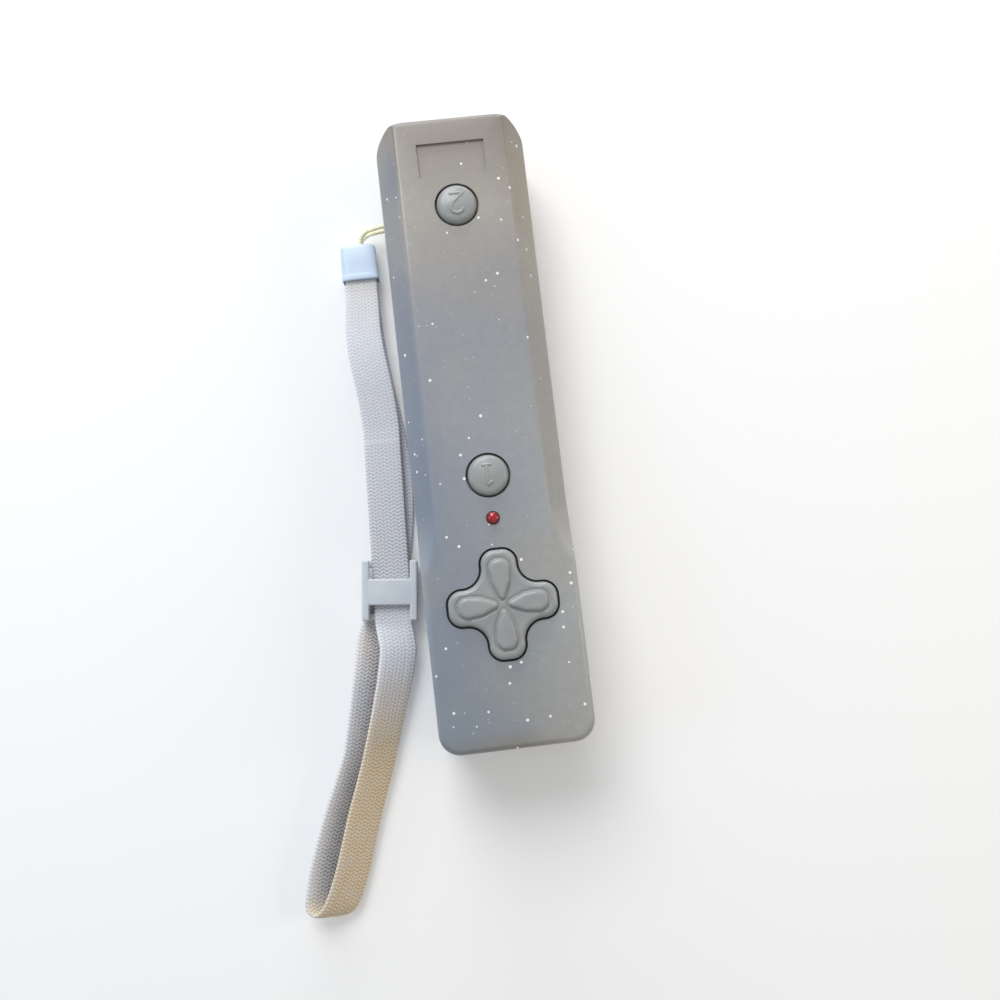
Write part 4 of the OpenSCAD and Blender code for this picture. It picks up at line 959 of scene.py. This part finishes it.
def pierced_sheet(half, holes, z0, z1, sides=48):
    """Square sheet with round holes, given as (x, y, radius)."""
    loops = [[(-half, -half), (half, -half), (half, half), (-half, half)]]
    turn = np.linspace(0, -2 * np.pi, sides, False)
    for x, y, r in holes:
        loops.append([(x + r * math.cos(a), y + r * math.sin(a)) for a in turn])
    starts = np.cumsum([0] + [len(loop) for loop in loops])
    edges = [
        (start + k, start + (k + 1) % len(loop))
        for start, loop in zip(starts, loops)
        for k in range(len(loop))
    ]
    flat = [Vector(p) for loop in loops for p in loop]
    flat, _, faces, *_ = delaunay_2d_cdt(flat, edges, [], 0, MERGE)
    flat = np.array(flat)
    count = len(flat)
    solid = [
        list(f) for f in faces
        if all(np.hypot(*(flat[list(f)].mean(axis=0) - (x, y))) > IN_HOLE * r for x, y, r in holes)
    ]
    points = np.vstack([np.column_stack([flat, np.full(count, z)]) for z in (z1, z0)])
    faces = solid + [[i + count for i in reversed(f)] for f in solid]
    faces += [[b, a, a + count, b + count] for a, b in edges]
    return points, faces


for button, button_y in BUTTON_Y.items():
    dome = piece(
        f"{button}_dome", revolved(DOME, (0, button_y), 64), finishes["silicone"],
        stands_for=[f"{button}_membrane"], smooth_angle=SHARP_ANGLE,
    )
    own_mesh(dome)

collar_places = {
    "dpad_tilt_x": [(0, DPAD_Y - COLLAR_RING), (0, DPAD_Y + COLLAR_RING)],
    "dpad_tilt_y": [(-COLLAR_RING, DPAD_Y), (COLLAR_RING, DPAD_Y)],
}
for joint, places in collar_places.items():
    collars = joined(*[revolved(COLLAR, at, 64, closed=True) for at in places])
    domes = piece(
        f"{joint}_domes", collars, finishes["silicone"],
        stands_for=["dpad_membrane"], smooth_angle=SHARP_ANGLE,
    )
    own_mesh(domes)

sheet_holes = [
    (x, y - DPAD_Y, COLLAR_RIM + SHEET_GAP) for places in collar_places.values() for x, y in places
]
sheet_points, sheet_faces = pierced_sheet(
    SHEET_HALF, sheet_holes + [(0, 0, POST_HOLE_R)], BOARD_TOP + SHEET_GAP, SHEET_TOP
)
piece(
    "dpad_sheet", (sheet_points + (0, DPAD_Y, 0), sheet_faces), finishes["silicone"],
    stands_for=["dpad_membrane"], smooth_angle=SHARP_ANGLE,
)


# CAD nodes that stay: smooth shading, and a finish for each

WELD = 0.001
CAD_SHARP_ANGLE = 28


def soft_shading():
    """Node group that welds a CAD mesh and shades it smooth but for its sharp edges."""
    group = bpy.data.node_groups.new("soft_shading", "GeometryNodeTree")
    for way in ("INPUT", "OUTPUT"):
        group.interface.new_socket("Geometry", in_out=way, socket_type="NodeSocketGeometry")
    start = group.nodes.new("NodeGroupInput")
    weld = group.nodes.new("GeometryNodeMergeByDistance")
    smooth = group.nodes.new("GeometryNodeSetShadeSmooth")
    crease = group.nodes.new("GeometryNodeSetShadeSmooth")
    end = group.nodes.new("NodeGroupOutput")
    for a, b in ((start, weld), (weld, smooth), (smooth, crease), (crease, end)):
        group.links.new(a.outputs[0], b.inputs[0])
    weld.inputs["Distance"].default_value = WELD * MM
    angle = group.nodes.new("GeometryNodeInputMeshEdgeAngle")
    sharp = group.nodes.new("FunctionNodeCompare")
    sharp.operation = "GREATER_THAN"
    sharp.inputs["B"].default_value = math.radians(CAD_SHARP_ANGLE)
    group.links.new(angle.outputs["Unsigned Angle"], sharp.inputs["A"])
    crease.domain = "EDGE"
    crease.inputs["Shade Smooth"].default_value = False
    group.links.new(sharp.outputs["Result"], crease.inputs["Selection"])
    return group


shading = soft_shading()
slot_of = {sub["node"]: sub["material_slot"] for sub in frame["record"]["subparts"]}
for node_name, obj in frame["nodes"].items():
    if obj.hide_render:
        continue
    obj.data.materials.clear()
    obj.data.materials.append(finishes[slot_of[node_name]])
    modifier = obj.modifiers.new("soft_shading", "NODES")
    modifier.node_group = shading


# Studio, in metres

FLOOR_HALF = 2.0
FLOOR_Z = -0.0001
FLOOR_TONE = 0.95
FLOOR_LIFT = 0.08  # glow that only the picture and reflections show
WORLD_COLOUR = (0.97, 0.98, 1.0, 1)
WORLD_STRENGTH = 0.41
LAMPS = [  # name, place, sides, power in watts, colour
    ("key", (-0.2, 0.6, 0.62), (0.5, 0.5), 4.6, (0.97, 0.98, 1.0)),
    ("left_fill", (-0.6, 0.0, 0.35), (0.2, 0.3), 0.4, (0.5, 0.76, 1.0)),
    ("right_fill", (0.6, -0.05, 0.34), (0.2, 0.3), 0.8, (1.0, 0.82, 0.58)),
    ("rear_strip", (0.0, 0.85, 0.22), (0.8, 0.12), 3.0, (0.95, 0.98, 1.0)),
]

floor_finish = Finish("floor", 0.9)
floor_finish.surface.inputs["Base Color"].default_value = (FLOOR_TONE, FLOOR_TONE, FLOOR_TONE, 1)
floor_finish.surface.inputs["Specular IOR Level"].default_value = 0.0
floor_finish.surface.inputs["Emission Color"].default_value = (1, 1, 1, 1)
ray = floor_finish.add("ShaderNodeLightPath").outputs
seen = floor_finish.math("MAXIMUM", ray["Is Camera Ray"], ray["Is Glossy Ray"])
seen = floor_finish.math("MAXIMUM", seen, ray["Is Transmission Ray"])
floor_finish.set("Emission Strength", floor_finish.math("MULTIPLY", seen, FLOOR_LIFT))

floor_corners = [
    (x * FLOOR_HALF, y * FLOOR_HALF, FLOOR_Z) for x, y in ((-1, -1), (1, -1), (1, 1), (-1, 1))
]
floor_mesh = bpy.data.meshes.new("floor")
floor_mesh.from_pydata(floor_corners, [], [(0, 1, 2, 3)])
floor_mesh.materials.append(floor_finish.material)
floor = bpy.data.objects.new("floor", floor_mesh)
bpy.context.collection.objects.link(floor)

for lamp_name, lamp_at, sides, power, colour in LAMPS:
    lamp_data = bpy.data.lights.new(lamp_name, "AREA")
    lamp_data.shape, lamp_data.energy, lamp_data.color = "RECTANGLE", power, colour
    lamp_data.size, lamp_data.size_y = sides
    lamp = bpy.data.objects.new(lamp_name, lamp_data)
    lamp.location = lamp_at
    lamp.rotation_euler = (-Vector(lamp_at)).to_track_quat("-Z", "Y").to_euler()
    bpy.context.collection.objects.link(lamp)

world = bpy.data.worlds.new("studio")
world.use_nodes = True
background = world.node_tree.nodes["Background"].inputs
background["Color"].default_value = WORLD_COLOUR
background["Strength"].default_value = WORLD_STRENGTH
bpy.context.scene.world = world
bpy.context.scene.view_settings.view_transform = "Standard"
